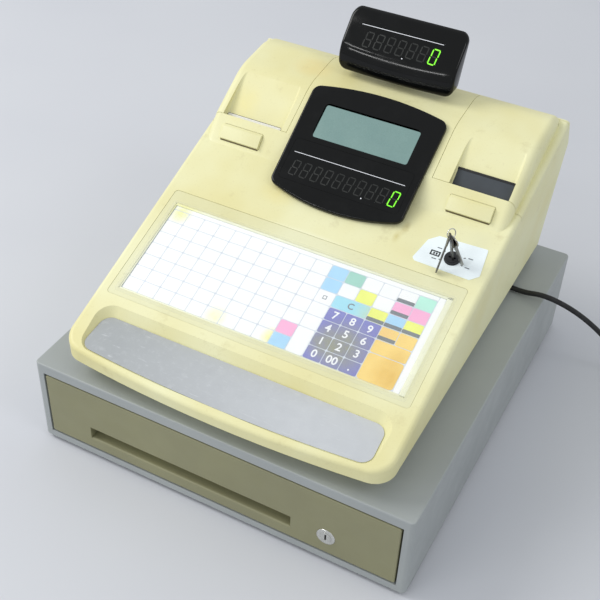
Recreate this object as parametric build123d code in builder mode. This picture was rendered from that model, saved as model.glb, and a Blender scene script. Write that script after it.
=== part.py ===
from build123d import *
from math import sin, cos, tan, radians, degrees, atan2, pi
import os

os.makedirs("parts", exist_ok=True)

# ---------------------------------------------------------------- driving dimensions (mm)
CABINET_WIDTH = 430.0
CABINET_DEPTH = 466.0
CABINET_BOTTOM = 5.0
CABINET_TOP = 110.0
SHEET = 1.5
CABINET_CORNER_R = 5.0
CABINET_TOP_R = 1.6
SHELL_RETURN = 10.0
OPENING_HALF = CABINET_WIDTH / 2 - SHELL_RETURN
OPENING_LOW = CABINET_BOTTOM + 8.0
OPENING_HIGH = CABINET_TOP - 12.0
FRONT_Y = -CABINET_DEPTH / 2
REAR_Y = CABINET_DEPTH / 2

FOOT_X = CABINET_WIDTH / 2 - 37.0
FOOT_Y = CABINET_DEPTH / 2 - 30.0
FOOT_R = 8.0

FASCIA_GAP = 2.0
FASCIA_HALF = OPENING_HALF - FASCIA_GAP
FASCIA_LOW = OPENING_LOW + FASCIA_GAP
FASCIA_HIGH = OPENING_HIGH - 2.5
FASCIA_BACK = FRONT_Y + 18.8
FASCIA_WALL = 2.6
SLOT_LEFT = -151.0
SLOT_RIGHT = 89.0
SLOT_LOW = 29.5
SLOT_HIGH = 45.0
SLOT_DEPTH = 13.0
LOCK_X = 128.0
LOCK_Z = 38.6
LOCK_R = 10.2

RUNNER_ROOM = 10.0
PAN_HALF = OPENING_HALF - RUNNER_ROOM
PAN_FRONT = FRONT_Y + 19.0
PAN_BACK = REAR_Y - 35.0
PAN_LOW = OPENING_LOW + 3.0
PAN_HIGH = OPENING_HIGH - 14.0
PAN_SHEET = 1.2
RAIL_Z = PAN_HIGH - 13.8
CHANNEL_LOW = PAN_HIGH - 24.0
CHANNEL_HIGH = PAN_HIGH
CHANNEL_FRONT = FRONT_Y + 43.0
CHANNEL_BACK = REAR_Y - 7.0
FRONT_ROLLER_Y = FRONT_Y + 31.0
FRONT_ROLLER_R = 8.0
REAR_ROLLER_Y = PAN_BACK - 8.0
REAR_ROLLER_R = 10.7
ROLLER_RUN = 0.08

TRAY_GAP = 4.0
TRAY_HALF = PAN_HALF - TRAY_GAP
TRAY_FRONT = PAN_FRONT + 6.0
TRAY_BACK = PAN_BACK - 6.0
TRAY_LOW = PAN_LOW + 1.6
TRAY_HIGH = PAN_HIGH - 22.0
TRAY_WALL = 2.4
COIN_CUPS = 6
NOTE_BAYS = 4
CUP_DEPTH = 106.0
CUP_BACK = TRAY_FRONT + CUP_DEPTH
CLIP_PIVOT_Y = TRAY_BACK - 16.0
CLIP_PIVOT_Z = TRAY_HIGH + 4.0
CLIP_ARM = 72.0
CLIP_ANGLE = 25.0
PIN_RUN = 0.05

PARTING_Z = 132.0
PLAN_SIDE = 181.0
PLAN_NOSE = -236.5
PLAN_REAR = 222.0
PLAN_BOW_R = 1433.0
FRONT_CORNER_R = 23.0
REAR_CORNER_R = 20.0
FLARE = 2.0
PRISM_HEIGHT = 200.0
REAR_LEAN = 34.0 / 190.0
REAR_INSET = 0.1
LIP_R = 5.0
WALL = 2.5
LOWER_BOTTOM = 116.0
LOWER_TAPER = 20.0
PARTING_GAP = 0.4

DECK_ANGLE = 19.22
DECK_ORIGIN = (0, -160.7, 172.2)
POD_ANGLE = 31.9
POD_ORIGIN = (0, 16.0, 237.2)
TRAY_ANGLE = 10.48
TRAY_ORIGIN = (0, -178.1, 157.6)
HUMP_HALF = 178.0
HUMP_EDGE_R = 9.0
CENTRE_HALF = 85.0
CENTRE_EDGE_R = 6.0
RAMP_FOOT_Y = 46.0
SEAM_Y = 67.5
SHOULDER_Y = 122.0
RIDGE = (176.0, 310.3)
RIDGE_BACK = (200.0, 304.0)
BACK_TOP_Z = 235.0

COVER_INNER = 86.5
COVER_OUTER = 192.0
COVER_FRONT = 67.8
COVER_GAP = 0.5
COVER_SKIRT = 11.6
HINGE_Y = 190.0
HINGE_Z = 298.0
KNUCKLE_R = 11.0
COVER_SWEEP_R = 125.4
SCOOP_TOP_Y = 118.0
SCOOP_SLOPE = 41.5
SCOOP_RIGHT = (105.0, 170.0)
SCOOP_LEFT = (93.0, 166.5)
HINGE_PIN_R = 2.0
COVER_EARS = (101.0, 165.0)

LATCH_X = 135.5
LATCH_WIDTH = 49.0
LATCH_HEIGHT = 17.4
LATCH_LOW = 5.5
LATCH_DEPTH = 8.0
LATCH_PROUD = 0.8
LATCH_GAP = 0.35

KEYBOARD_HALF = 170.0
KEYBOARD_LENGTH = 143.0
KEYBOARD_RECESS = 3.0
SHEET_HALF = 159.5
SHEET_START = 11.0
SHEET_END = 126.0

LOCK_PLACE = (141.0, 170.8)

DISPLAY_Y = 182.0
POLE_R = 11.0
COLLAR_TOP = 314.3
HEAD_LOW = 314.6
HEAD_HALF = 66.5

ROLL_Y = 150.0
ROLL_Z = 214.0
ROLL_R = 34.0
SPINDLE_R = 5.5
PLATEN_Y = 98.0
PLATEN_Z = 244.0
PLATEN_R = 7.0
SHAFT_R = 2.5
SPOOL_Y = 92.0
SPOOL_Z = 196.0
CHASSIS_INNER = 98.0
CHASSIS_OUTER = 172.0
CHASSIS_SHEET = 1.5

CORD_R = 3.0
COIL_PLACE = (372.0, 215.0)


# ---------------------------------------------------------------- shared shapes
def tilted(origin, angle):
    return Plane(origin=origin, x_dir=(1, 0, 0), z_dir=(0, -sin(radians(angle)), cos(radians(angle))))


DECK = tilted(DECK_ORIGIN, DECK_ANGLE)
POD = tilted(POD_ORIGIN, POD_ANGLE)
TRAY = tilted(TRAY_ORIGIN, TRAY_ANGLE)


def deck_z(y):
    return DECK_ORIGIN[2] + tan(radians(DECK_ANGLE)) * (y - DECK_ORIGIN[1])


def pod_z(y):
    return POD_ORIGIN[2] + tan(radians(POD_ANGLE)) * (y - POD_ORIGIN[1])


def rear_y(z):
    return PLAN_REAR - REAR_INSET + (z - PARTING_Z) * REAR_LEAN


RAMP_ANGLE = degrees(atan2(pod_z(SEAM_Y) - deck_z(RAMP_FOOT_Y), SEAM_Y - RAMP_FOOT_Y))
RAMP = tilted((0, RAMP_FOOT_Y, deck_z(RAMP_FOOT_Y)), RAMP_ANGLE)
REAR_SLOPE = (BACK_TOP_Z - RIDGE_BACK[1]) / (rear_y(BACK_TOP_Z) - RIDGE_BACK[0])
LEDGE_END = (RIDGE_BACK[1] - REAR_SLOPE * RIDGE_BACK[0] - deck_z(0)) / (tan(radians(DECK_ANGLE)) - REAR_SLOPE)


def slab(points, x0, x1):
    """A side profile of (y, z) points carried from x0 to x1."""
    with BuildPart() as body:
        with BuildSketch(Plane.YZ.offset(x0)):
            with BuildLine():
                Polyline(*points, close=True)
            make_face()
        extrude(amount=x1 - x0)
    return body.part


def bar(y, z, radius, x0, x1):
    """A round bar along X."""
    with BuildPart() as body:
        with BuildSketch(Plane.YZ.offset(x0)):
            with Locations((y, z)):
                Circle(radius)
        extrude(amount=x1 - x0)
    return body.part


def block(x0, x1, y0, y1, z0, z1):
    """A plain box between its limits."""
    with BuildPart() as body:
        with Locations(((x0 + x1) / 2, (y0 + y1) / 2, (z0 + z1) / 2)):
            Box(x1 - x0, y1 - y0, z1 - z0)
    return body.part


def rod(x, z, radius, y0, y1):
    """A round bar along Y."""
    with BuildPart() as body:
        with BuildSketch(Plane.XZ.offset(-y1)):
            with Locations((x, z)):
                Circle(radius)
        extrude(amount=y1 - y0)
    return body.part


def profile(points, radii, inset, half):
    """Side profile with rounded corners, drawn in by inset."""
    with BuildPart() as body:
        with BuildSketch(Plane.YZ) as sketch:
            with BuildLine():
                Polyline(*points, close=True)
            make_face()
            for (y, z), radius in radii:
                fillet(sketch.vertices().sort_by_distance((y, z, 0))[0], radius=radius)
            if inset:
                offset(amount=-inset, kind=Kind.INTERSECTION)
        extrude(amount=half - inset, both=True)
    return body.part


def case_prism(low, inset):
    """The flared plan of the case with its bowed front and round front corners."""
    side = PLAN_SIDE - inset
    nose = PLAN_NOSE + inset
    corner = nose + side * side / (2 * PLAN_BOW_R)
    with BuildPart() as prism:
        with BuildSketch(Plane.XY.offset(low)) as plan:
            with BuildLine():
                ThreePointArc((-side, corner), (0, nose), (side, corner))
                Polyline((side, corner), (side, 270), (-side, 270), (-side, corner))
            make_face()
            fillet(plan.vertices().group_by(Axis.Y)[0], radius=FRONT_CORNER_R - inset)
        extrude(amount=PRISM_HEIGHT, taper=-FLARE)
    return prism.part


def rear_cut(prism, low, inset):
    """The same prism ended by the leaning rear wall with its round corners."""
    shift = REAR_INSET - inset
    points = [(rear_y(low - 5) + shift, low - 5), (rear_y(360) + shift, 360), (400, 360), (400, low - 5)]
    with BuildPart() as cut:
        add(prism)
        add(slab(points, -300, 300), mode=Mode.SUBTRACT)
        rear = cut.edges().filter_by(
            lambda e: abs(e.center().X) > 170 and e.center().Y > 200 and e.bounding_box().size.Z > 100)
        fillet(rear, radius=REAR_CORNER_R - inset)
    return cut.part


def case_form(inset):
    """The outer form of the upper case, or the form of its hollow when inset is the wall."""
    low = PARTING_Z if inset == 0 else PARTING_Z - 10
    prism = case_prism(low, inset)
    base = low - inset
    back = (rear_y(BACK_TOP_Z), BACK_TOP_Z)
    foot = (rear_y(base), base)
    shoulder = (SHOULDER_Y, pod_z(SHOULDER_Y))
    wedge_points = [(-270, base), foot, back, (LEDGE_END, deck_z(LEDGE_END)), (-270, deck_z(-270))]
    with BuildPart() as wedge:
        add(prism)
        add(profile(wedge_points, [(back, 12)], inset, 230), mode=Mode.INTERSECT)
        deck = wedge.faces().filter_by(lambda f: f.normal_at().dot(DECK.z_dir) > 0.9999)
        rim = deck.sort_by(SortBy.AREA)[-1].edges().filter_by(lambda e: e.center().Y < LEDGE_END - 5)
        fillet(rim, radius=LIP_R - inset)
    side_points = [(0, base), foot, back, RIDGE_BACK, RIDGE, shoulder, (SEAM_Y, pod_z(SEAM_Y)),
                   (RAMP_FOOT_Y, deck_z(RAMP_FOOT_Y)), (0, deck_z(0) - 5)]
    radii = [(back, 12), (RIDGE_BACK, 20), (RIDGE, 40), (shoulder, 60)]
    side_radii = radii + [((SEAM_Y, pod_z(SEAM_Y)), 6), ((RAMP_FOOT_Y, deck_z(RAMP_FOOT_Y)), 12)]
    half = HUMP_HALF - inset
    with BuildPart() as hump:
        add(profile(side_points, side_radii, inset, HUMP_HALF))
        rim = hump.edges().filter_by(
            lambda e: abs(abs(e.center().X) - half) < 0.3 and e.bounding_box().size.X < 0.6
            and e.center().Z > deck_z(e.center().Y) + 5 and e.center().Y < 235)
        fillet(rim, radius=HUMP_EDGE_R - inset)
    centre_points = [(-20, base), foot, back, RIDGE_BACK, RIDGE, shoulder, (-20, pod_z(-20))]
    middle = CENTRE_HALF - inset
    with BuildPart() as centre:
        add(profile(centre_points, radii, inset, CENTRE_HALF))
        rim = centre.edges().filter_by(
            lambda e: abs(abs(e.center().X) - middle) < 0.3 and e.bounding_box().size.X < 0.6
            and abs(e.center().Z - pod_z(e.center().Y)) < 3)
        fillet(rim, radius=CENTRE_EDGE_R - inset)
    with BuildPart() as form:
        add(wedge.part)
        add(hump.part)
        add(centre.part)
        add(rear_cut(prism, low, inset), mode=Mode.INTERSECT)
    return form.part


def mirrored(part, side):
    return part if side > 0 else part.mirror(Plane.YZ)


def cover_region(gap):
    """The space of the right-hand cover; the case is cut with the same space made larger by gap."""
    low = COVER_SKIRT + gap
    front = COVER_FRONT - gap
    points = [(front, deck_z(front) - low), (front, 400), (HINGE_Y, 400), (HINGE_Y, deck_z(HINGE_Y) - low)]
    x0 = COVER_INNER - gap
    with BuildPart() as region:
        add(slab(points, x0, COVER_OUTER))
        add(bar(HINGE_Y, HINGE_Z, COVER_SWEEP_R + gap, x0, COVER_OUTER), mode=Mode.INTERSECT)
        add(bar(HINGE_Y, HINGE_Z, KNUCKLE_R + gap, x0, COVER_OUTER))
    return region.part


def scoop(x0, x1, grow):
    """The sloping paper scoop, made larger by grow for the tub that carries it."""
    drop = grow / cos(radians(SCOOP_SLOPE))
    top = (SCOOP_TOP_Y, pod_z(SCOOP_TOP_Y))
    slope = tan(radians(SCOOP_SLOPE))
    front = 50.0
    points = [(front, top[1] - slope * (top[0] - front) - drop), (top[0] + grow, top[1] + slope * grow - drop),
              (top[0] + grow, 345), (front, 345)]
    with BuildPart() as body:
        add(slab(points, x0 - grow, x1 + grow))
        floor = body.edges().filter_by(lambda e: e.bounding_box().size.X < 0.1 and e.center().Z < 300
                                       and e.bounding_box().size.Y > 30)
        fillet(floor, radius=4.0 + grow)
    return body.part


def scoop_z(y):
    return pod_z(SCOOP_TOP_Y) - tan(radians(SCOOP_SLOPE)) * (SCOOP_TOP_Y - y)


# ---------------------------------------------------------------- cash drawer cabinet
with BuildPart() as cabinet_shell:
    with BuildSketch(Plane.XY.offset(CABINET_BOTTOM)):
        RectangleRounded(CABINET_WIDTH, CABINET_DEPTH, CABINET_CORNER_R)
    extrude(amount=CABINET_TOP - CABINET_BOTTOM)
    fillet(cabinet_shell.faces().sort_by(Axis.Z)[-1].edges(), radius=CABINET_TOP_R)
    with BuildSketch(Plane.XY.offset(CABINET_BOTTOM)):
        RectangleRounded(CABINET_WIDTH - 2 * SHEET, CABINET_DEPTH - 2 * SHEET, CABINET_CORNER_R - SHEET)
    extrude(amount=CABINET_TOP - CABINET_BOTTOM - SHEET, mode=Mode.SUBTRACT)
    # folded returns round the drawer opening
    add(block(-OPENING_HALF - SHEET, OPENING_HALF + SHEET, FRONT_Y + 1, FRONT_Y + 14, OPENING_LOW - SHEET,
              OPENING_HIGH + SHEET))
    add(block(-OPENING_HALF, OPENING_HALF, FRONT_Y - 5, FRONT_Y + 20, OPENING_LOW, OPENING_HIGH),
        mode=Mode.SUBTRACT)
cabinet_shell.part.label = "cabinet_shell"
export_step(cabinet_shell.part, "parts/cabinet_shell.step")

BASE_HALF = CABINET_WIDTH / 2 - SHEET - 0.2
BASE_DEPTH = CABINET_DEPTH - 2 * SHEET - 0.4
with BuildPart() as cabinet_base:
    with BuildSketch(Plane.XY.offset(CABINET_BOTTOM)):
        RectangleRounded(2 * BASE_HALF, BASE_DEPTH, 3)
    extrude(amount=SHEET)
    # pressed stiffening beads
    with BuildSketch(Plane.XY.offset(CABINET_BOTTOM)):
        with GridLocations(90, 0, 4, 1):
            SlotOverall(300, 16, rotation=90)
    extrude(amount=2.6)
    with BuildSketch(Plane.XY.offset(CABINET_BOTTOM)):
        with GridLocations(90, 0, 4, 1):
            SlotOverall(297, 13, rotation=90)
    extrude(amount=1.1, mode=Mode.SUBTRACT)
cabinet_base.part.label = "cabinet_base"
export_step(cabinet_base.part, "parts/cabinet_base.step")

with BuildPart() as cabinet_feet:
    with BuildSketch(Plane.XY):
        with GridLocations(2 * FOOT_X, 2 * FOOT_Y, 2, 2):
            Circle(FOOT_R)
    extrude(amount=CABINET_BOTTOM)
    chamfer(cabinet_feet.edges().group_by(Axis.Z)[0], length=1.0)
cabinet_feet.part.label = "cabinet_feet"
export_step(cabinet_feet.part, "parts/cabinet_feet.step")

WEB_OUT = CABINET_WIDTH / 2 - SHEET - 0.2
WEB_IN = WEB_OUT - PAN_SHEET
LIP_IN = PAN_HALF + 5.0
with BuildPart() as channel_right:
    add(block(WEB_IN, WEB_OUT, FRONT_ROLLER_Y - 8, CHANNEL_BACK, CHANNEL_LOW, CHANNEL_HIGH))
    for z in (CHANNEL_LOW, CHANNEL_HIGH - PAN_SHEET):
        add(block(LIP_IN, WEB_IN, CHANNEL_FRONT, CHANNEL_BACK, z, z + PAN_SHEET))
    # stand down to the base plate
    for y in (-150.0, 150.0):
        add(block(WEB_IN, WEB_OUT, y - 15, y + 15, CABINET_BOTTOM + SHEET + 0.1, CHANNEL_LOW))
    add(bar(FRONT_ROLLER_Y, RAIL_Z - ROLLER_RUN - FRONT_ROLLER_R, 2.5, LIP_IN, WEB_IN))
with BuildPart() as runners:
    add(channel_right.part)
    add(mirrored(channel_right.part, -1))
runners.part.label = "runners"
export_step(runners.part, "parts/runners.step")

REAR_ROLLER_Z = (CHANNEL_LOW + CHANNEL_HIGH) / 2
AXLE_R = 2.5


def roller_pair(y, z, radius):
    """A roller on each side, turning about the same line."""
    with BuildPart() as pair:
        for x0 in (LIP_IN + 1, -LIP_IN - 9):
            add(bar(y, z, radius, x0, x0 + 8))
        add(bar(y, z, AXLE_R + ROLLER_RUN, -LIP_IN - 20, LIP_IN + 20), mode=Mode.SUBTRACT)
    return pair.part


front_rollers = roller_pair(FRONT_ROLLER_Y, RAIL_Z - ROLLER_RUN - FRONT_ROLLER_R, FRONT_ROLLER_R)
front_rollers.label = "front_rollers"
export_step(front_rollers, "parts/front_rollers.step")
rear_rollers = roller_pair(REAR_ROLLER_Y, REAR_ROLLER_Z, REAR_ROLLER_R)
rear_rollers.label = "rear_rollers"
export_step(rear_rollers, "parts/rear_rollers.step")

with BuildPart() as rail_right:
    add(block(PAN_HALF + 0.2, PAN_HALF + 1.4, PAN_FRONT + 4, PAN_BACK, 40, RAIL_Z + PAN_SHEET))
    add(block(PAN_HALF + 0.2, OPENING_HALF - 0.5, PAN_FRONT + 4, REAR_ROLLER_Y - 13, RAIL_Z, RAIL_Z + PAN_SHEET))
    add(block(PAN_HALF + 0.2, PAN_HALF + 1.4, REAR_ROLLER_Y - 12, PAN_BACK, 64, 80))
    add(bar(REAR_ROLLER_Y, REAR_ROLLER_Z, AXLE_R, PAN_HALF + 1.2, LIP_IN + 9.8))
with BuildPart() as drawer_rails:
    add(rail_right.part)
    add(mirrored(rail_right.part, -1))
drawer_rails.part.label = "drawer_rails"
export_step(drawer_rails.part, "parts/drawer_rails.step")

BASE_TOP = CABINET_BOTTOM + SHEET + 0.05
COIL_Y = PAN_BACK + 21.0
with BuildPart() as latch_solenoid:
    add(block(28, 74, COIL_Y - 13, COIL_Y - 11, BASE_TOP, 44))
    add(block(28, 74, COIL_Y - 11, COIL_Y + 10, BASE_TOP, BASE_TOP + 2))
    add(block(36, 66, COIL_Y - 9, COIL_Y + 9, BASE_TOP + 4, BASE_TOP + 30))
    add(block(36, 66, COIL_Y - 12, COIL_Y - 8, BASE_TOP + 8, BASE_TOP + 26))
    add(bar(COIL_Y, BASE_TOP + 17, 3.5, 18, 36))
    add(bar(COIL_Y, BASE_TOP + 17, 8, 62, 69))
latch_solenoid.part.label = "latch_solenoid"
export_step(latch_solenoid.part, "parts/latch_solenoid.step")

with BuildPart() as latch_pawl:
    with BuildSketch(Plane.XY.offset(BASE_TOP + 34)):
        with Locations((8, COIL_Y - 3)):
            Circle(6)
        with Locations((8, COIL_Y - 8.5)):
            Rectangle(6, 12)
        with Locations((1, COIL_Y - 12.5)):
            Rectangle(12, 4)
    extrude(amount=3)
    with BuildSketch(Plane.XY.offset(BASE_TOP + 0.2)):
        with Locations((8, COIL_Y - 3)):
            Circle(3)
    extrude(amount=40)
latch_pawl.part.label = "latch_pawl"
export_step(latch_pawl.part, "parts/latch_pawl.step")

with BuildPart() as kick_spring:
    add(block(-70, -66, REAR_Y - 4.5, REAR_Y - 2, BASE_TOP, 50))
    with BuildSketch(Plane.XY.offset(20)):
        with BuildLine():
            Polyline((-66, REAR_Y - 3.4), (-95, PAN_BACK + 8), (-130, PAN_BACK + 3.2), (-130, PAN_BACK + 2),
                     (-94, PAN_BACK + 7), (-66, REAR_Y - 4.5), close=True)
        make_face()
    extrude(amount=24)
kick_spring.part.label = "kick_spring"
export_step(kick_spring.part, "parts/kick_spring.step")

# ---------------------------------------------------------------- drawer
with BuildPart() as drawer_pan:
    add(block(-PAN_HALF, PAN_HALF, PAN_FRONT, PAN_BACK, PAN_LOW, PAN_HIGH))
    fillet(drawer_pan.edges().filter_by(Axis.Z), radius=3)
    add(block(-PAN_HALF + PAN_SHEET, PAN_HALF - PAN_SHEET, PAN_FRONT + PAN_SHEET, PAN_BACK - PAN_SHEET,
              PAN_LOW + PAN_SHEET, PAN_HIGH + 5), mode=Mode.SUBTRACT)
    # strike for the latch pawl
    add(block(-24, 4, PAN_BACK - 0.5, PAN_BACK + 1.5, 34, 60))
    add(block(-24, -22, PAN_BACK - 0.5, PAN_BACK + 10, 34, 60))
    add(block(-24, -12, PAN_BACK + 8.5, PAN_BACK + 10, 34, 60))
    # outward fold along the top of the back wall
    add(block(-PAN_HALF + 20, PAN_HALF - 20, PAN_BACK - PAN_SHEET, PAN_BACK + 3.5, PAN_HIGH - PAN_SHEET, PAN_HIGH))
drawer_pan.part.label = "drawer_pan"
export_step(drawer_pan.part, "parts/drawer_pan.step")

with BuildPart() as drawer_front:
    add(block(-FASCIA_HALF, FASCIA_HALF, FRONT_Y, FASCIA_BACK, FASCIA_LOW, FASCIA_HIGH))
    fillet(drawer_front.edges().filter_by(Axis.Y), radius=2.0)
    fillet(drawer_front.faces().sort_by(Axis.Y)[0].edges(), radius=1.2)
    add(block(-FASCIA_HALF + FASCIA_WALL, FASCIA_HALF - FASCIA_WALL, FRONT_Y + FASCIA_WALL, FASCIA_BACK + 1,
              FASCIA_LOW + FASCIA_WALL, FASCIA_HIGH - FASCIA_WALL), mode=Mode.SUBTRACT)
    # finger slot box with a rounded lower lip
    add(block(SLOT_LEFT - 2.2, SLOT_RIGHT + 2.2, FRONT_Y + 1, FRONT_Y + SLOT_DEPTH + 2.2, SLOT_LOW - 2.2,
              SLOT_HIGH + 2.2))
    add(block(SLOT_LEFT, SLOT_RIGHT, FRONT_Y - 3, FRONT_Y + SLOT_DEPTH, SLOT_LOW, SLOT_HIGH), mode=Mode.SUBTRACT)
    lip = drawer_front.edges().filter_by(Axis.X).filter_by(
        lambda e: abs(e.center().Y - FRONT_Y) < 0.05 and abs(e.center().Z - SLOT_LOW) < 0.05)
    fillet(lip, radius=2.0)
    # lock boss and stiffening ribs
    add(rod(LOCK_X, LOCK_Z, LOCK_R + 2.6, FRONT_Y + 1, FRONT_Y + 13))
    for x in (-180.0, -60.0, 20.0, 100.0, 170.0):
        add(block(x - 1, x + 1, FRONT_Y + 1, FASCIA_BACK - 1, 60, FASCIA_HIGH - 1))
    add(rod(LOCK_X, LOCK_Z, LOCK_R, FRONT_Y - 5, FRONT_Y + 20), mode=Mode.SUBTRACT)
drawer_front.part.label = "drawer_front"
export_step(drawer_front.part, "parts/drawer_front.step")

CUP_PITCH = (2 * TRAY_HALF - TRAY_WALL) / COIN_CUPS
BAY_PITCH = (2 * TRAY_HALF - TRAY_WALL) / NOTE_BAYS
def cup_form(left):
    with BuildPart() as body:
        add(block(left, left + CUP_PITCH - TRAY_WALL, TRAY_FRONT + TRAY_WALL, CUP_BACK, TRAY_LOW + TRAY_WALL, 80))
        fillet(body.edges().group_by(Axis.Z)[0].filter_by(Axis.X), radius=30)
    return body.part


def bay_form(left):
    with BuildPart() as body:
        add(block(left, left + BAY_PITCH - TRAY_WALL, CUP_BACK + TRAY_WALL, TRAY_BACK - 12, TRAY_LOW + TRAY_WALL, 80))
        fillet(body.edges().filter_by(Axis.Z), radius=4)
    return body.part


with BuildPart() as money_tray:
    add(block(-TRAY_HALF, TRAY_HALF, TRAY_FRONT, TRAY_BACK, TRAY_LOW, TRAY_HIGH))
    fillet(money_tray.edges().filter_by(Axis.Z), radius=6)
    for i in range(COIN_CUPS):
        add(cup_form(-TRAY_HALF + TRAY_WALL + i * CUP_PITCH), mode=Mode.SUBTRACT)
    for i in range(NOTE_BAYS):
        add(bay_form(-TRAY_HALF + TRAY_WALL + i * BAY_PITCH), mode=Mode.SUBTRACT)
    # posts that carry the note clips
    for i in range(NOTE_BAYS):
        middle = -TRAY_HALF + TRAY_WALL / 2 + (i + 0.5) * BAY_PITCH
        for side in (-1, 1):
            x = middle + side * 19
            add(block(x - 2, x + 2, CLIP_PIVOT_Y - 5, TRAY_BACK - 4, TRAY_LOW + 1, CLIP_PIVOT_Z + 5))
        add(bar(CLIP_PIVOT_Y, CLIP_PIVOT_Z, 2.0, middle - 19, middle + 19))
money_tray.part.label = "money_tray"
export_step(money_tray.part, "parts/money_tray.step")

TIP_Y = CLIP_PIVOT_Y - CLIP_ARM * cos(radians(CLIP_ANGLE))
TIP_Z = CLIP_PIVOT_Z - CLIP_ARM * sin(radians(CLIP_ANGLE))
for i in range(NOTE_BAYS):
    middle = -TRAY_HALF + TRAY_WALL / 2 + (i + 0.5) * BAY_PITCH
    with BuildPart() as bill_clip:
        add(bar(CLIP_PIVOT_Y, CLIP_PIVOT_Z, 4.5, middle - 15, middle + 15))
        add(slab([(CLIP_PIVOT_Y, CLIP_PIVOT_Z + 2), (CLIP_PIVOT_Y, CLIP_PIVOT_Z - 2), (TIP_Y, TIP_Z - 2),
                  (TIP_Y, TIP_Z + 2)], middle - 7, middle + 7))
        add(bar(TIP_Y, TIP_Z, 5, middle - 16, middle + 16))
        add(bar(CLIP_PIVOT_Y, CLIP_PIVOT_Z, 2.0 + PIN_RUN, middle - 20, middle + 20), mode=Mode.SUBTRACT)
    bill_clip.part.label = f"note_clip_{i + 1}"
    export_step(bill_clip.part, f"parts/note_clip_{i + 1}.step")


with BuildPart() as drawer_lock_body:
    add(rod(LOCK_X, LOCK_Z, LOCK_R - 0.1, FRONT_Y - 0.6, FRONT_Y + 13.5))
    fillet(drawer_lock_body.edges().group_by(Axis.Y)[0], radius=0.8)
    add(rod(LOCK_X, LOCK_Z, 6.06, FRONT_Y - 2, FRONT_Y + 16), mode=Mode.SUBTRACT)
drawer_lock_body.part.label = "drawer_lock_body"
export_step(drawer_lock_body.part, "parts/drawer_lock_body.step")

with BuildPart() as drawer_lock_plug:
    add(rod(LOCK_X, LOCK_Z, 6.0, FRONT_Y - 0.9, FRONT_Y + 14))
    add(block(LOCK_X - 0.9, LOCK_X + 0.9, FRONT_Y - 2, FRONT_Y + 9, LOCK_Z - 3.8, LOCK_Z + 3.8), mode=Mode.SUBTRACT)
    # short cam behind the body
    add(block(LOCK_X - 4, LOCK_X + 4, FRONT_Y + 13.8, FRONT_Y + 15.6, LOCK_Z - 6, LOCK_Z + 17))
drawer_lock_plug.part.label = "drawer_lock_plug"
export_step(drawer_lock_plug.part, "parts/drawer_lock_plug.step")

# ---------------------------------------------------------------- register case
OUTER = case_form(0)
INNER = case_form(WALL)

def tray_outline(grow):
    """Outline of the change tray, drawn on its own plane."""
    half = 160.3 + grow
    front = -44.5 - grow
    with BuildSketch() as outline:
        with BuildLine():
            ThreePointArc((-half, front), (0, -52.0 - grow), (half, front))
            Polyline((half, front), (half - 2.0, grow), (2.0 - half, grow), (-half, front))
        make_face()
        fillet(outline.vertices(), radius=12 + grow)
    return outline.sketch


with BuildPart() as tray_pocket_form:
    with BuildSketch(TRAY.offset(-1.1)):
        add(tray_outline(0.4))
    extrude(amount=30, taper=-38)
    add(block(-250, 250, -260, PLAN_NOSE + 7.0, 100, 220), mode=Mode.SUBTRACT)
with BuildPart() as tray_tub_form:
    with BuildSketch(TRAY.offset(-1.1 - WALL)):
        add(tray_outline(1.6))
    extrude(amount=33, taper=-38)

with BuildPart() as keyboard_recess:
    with BuildSketch(DECK.offset(-KEYBOARD_RECESS)):
        with Locations((0, KEYBOARD_LENGTH / 2)):
            RectangleRounded(2 * KEYBOARD_HALF + 0.6, KEYBOARD_LENGTH + 0.6, 4)
    extrude(amount=12)
    with BuildSketch(DECK.offset(-30)):
        with Locations((0, KEYBOARD_LENGTH / 2)):
            RectangleRounded(2 * KEYBOARD_HALF - 6, KEYBOARD_LENGTH - 6, 3)
    extrude(amount=40)
with BuildPart() as keyboard_tub:
    with BuildSketch(DECK.offset(-KEYBOARD_RECESS - 2.0)):
        with Locations((0, KEYBOARD_LENGTH / 2)):
            RectangleRounded(2 * KEYBOARD_HALF + 4, KEYBOARD_LENGTH + 4, 6)
    extrude(amount=12)

with BuildPart() as case_hollow:
    add(INNER)
    add(tray_tub_form.part, mode=Mode.SUBTRACT)
    add(keyboard_tub.part, mode=Mode.SUBTRACT)
    # walls beside the covers
    for side in (-1, 1):
        wall = slab([(58, 225), (58, 345), (205, 345), (205, 262)], CENTRE_HALF - 1.8, COVER_INNER - COVER_GAP)
        add(mirrored(wall, side), mode=Mode.SUBTRACT)
    # socket for the display pole
    with Locations((0, DISPLAY_Y, 297)):
        Cylinder(POLE_R + 3, 30, mode=Mode.SUBTRACT)

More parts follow.
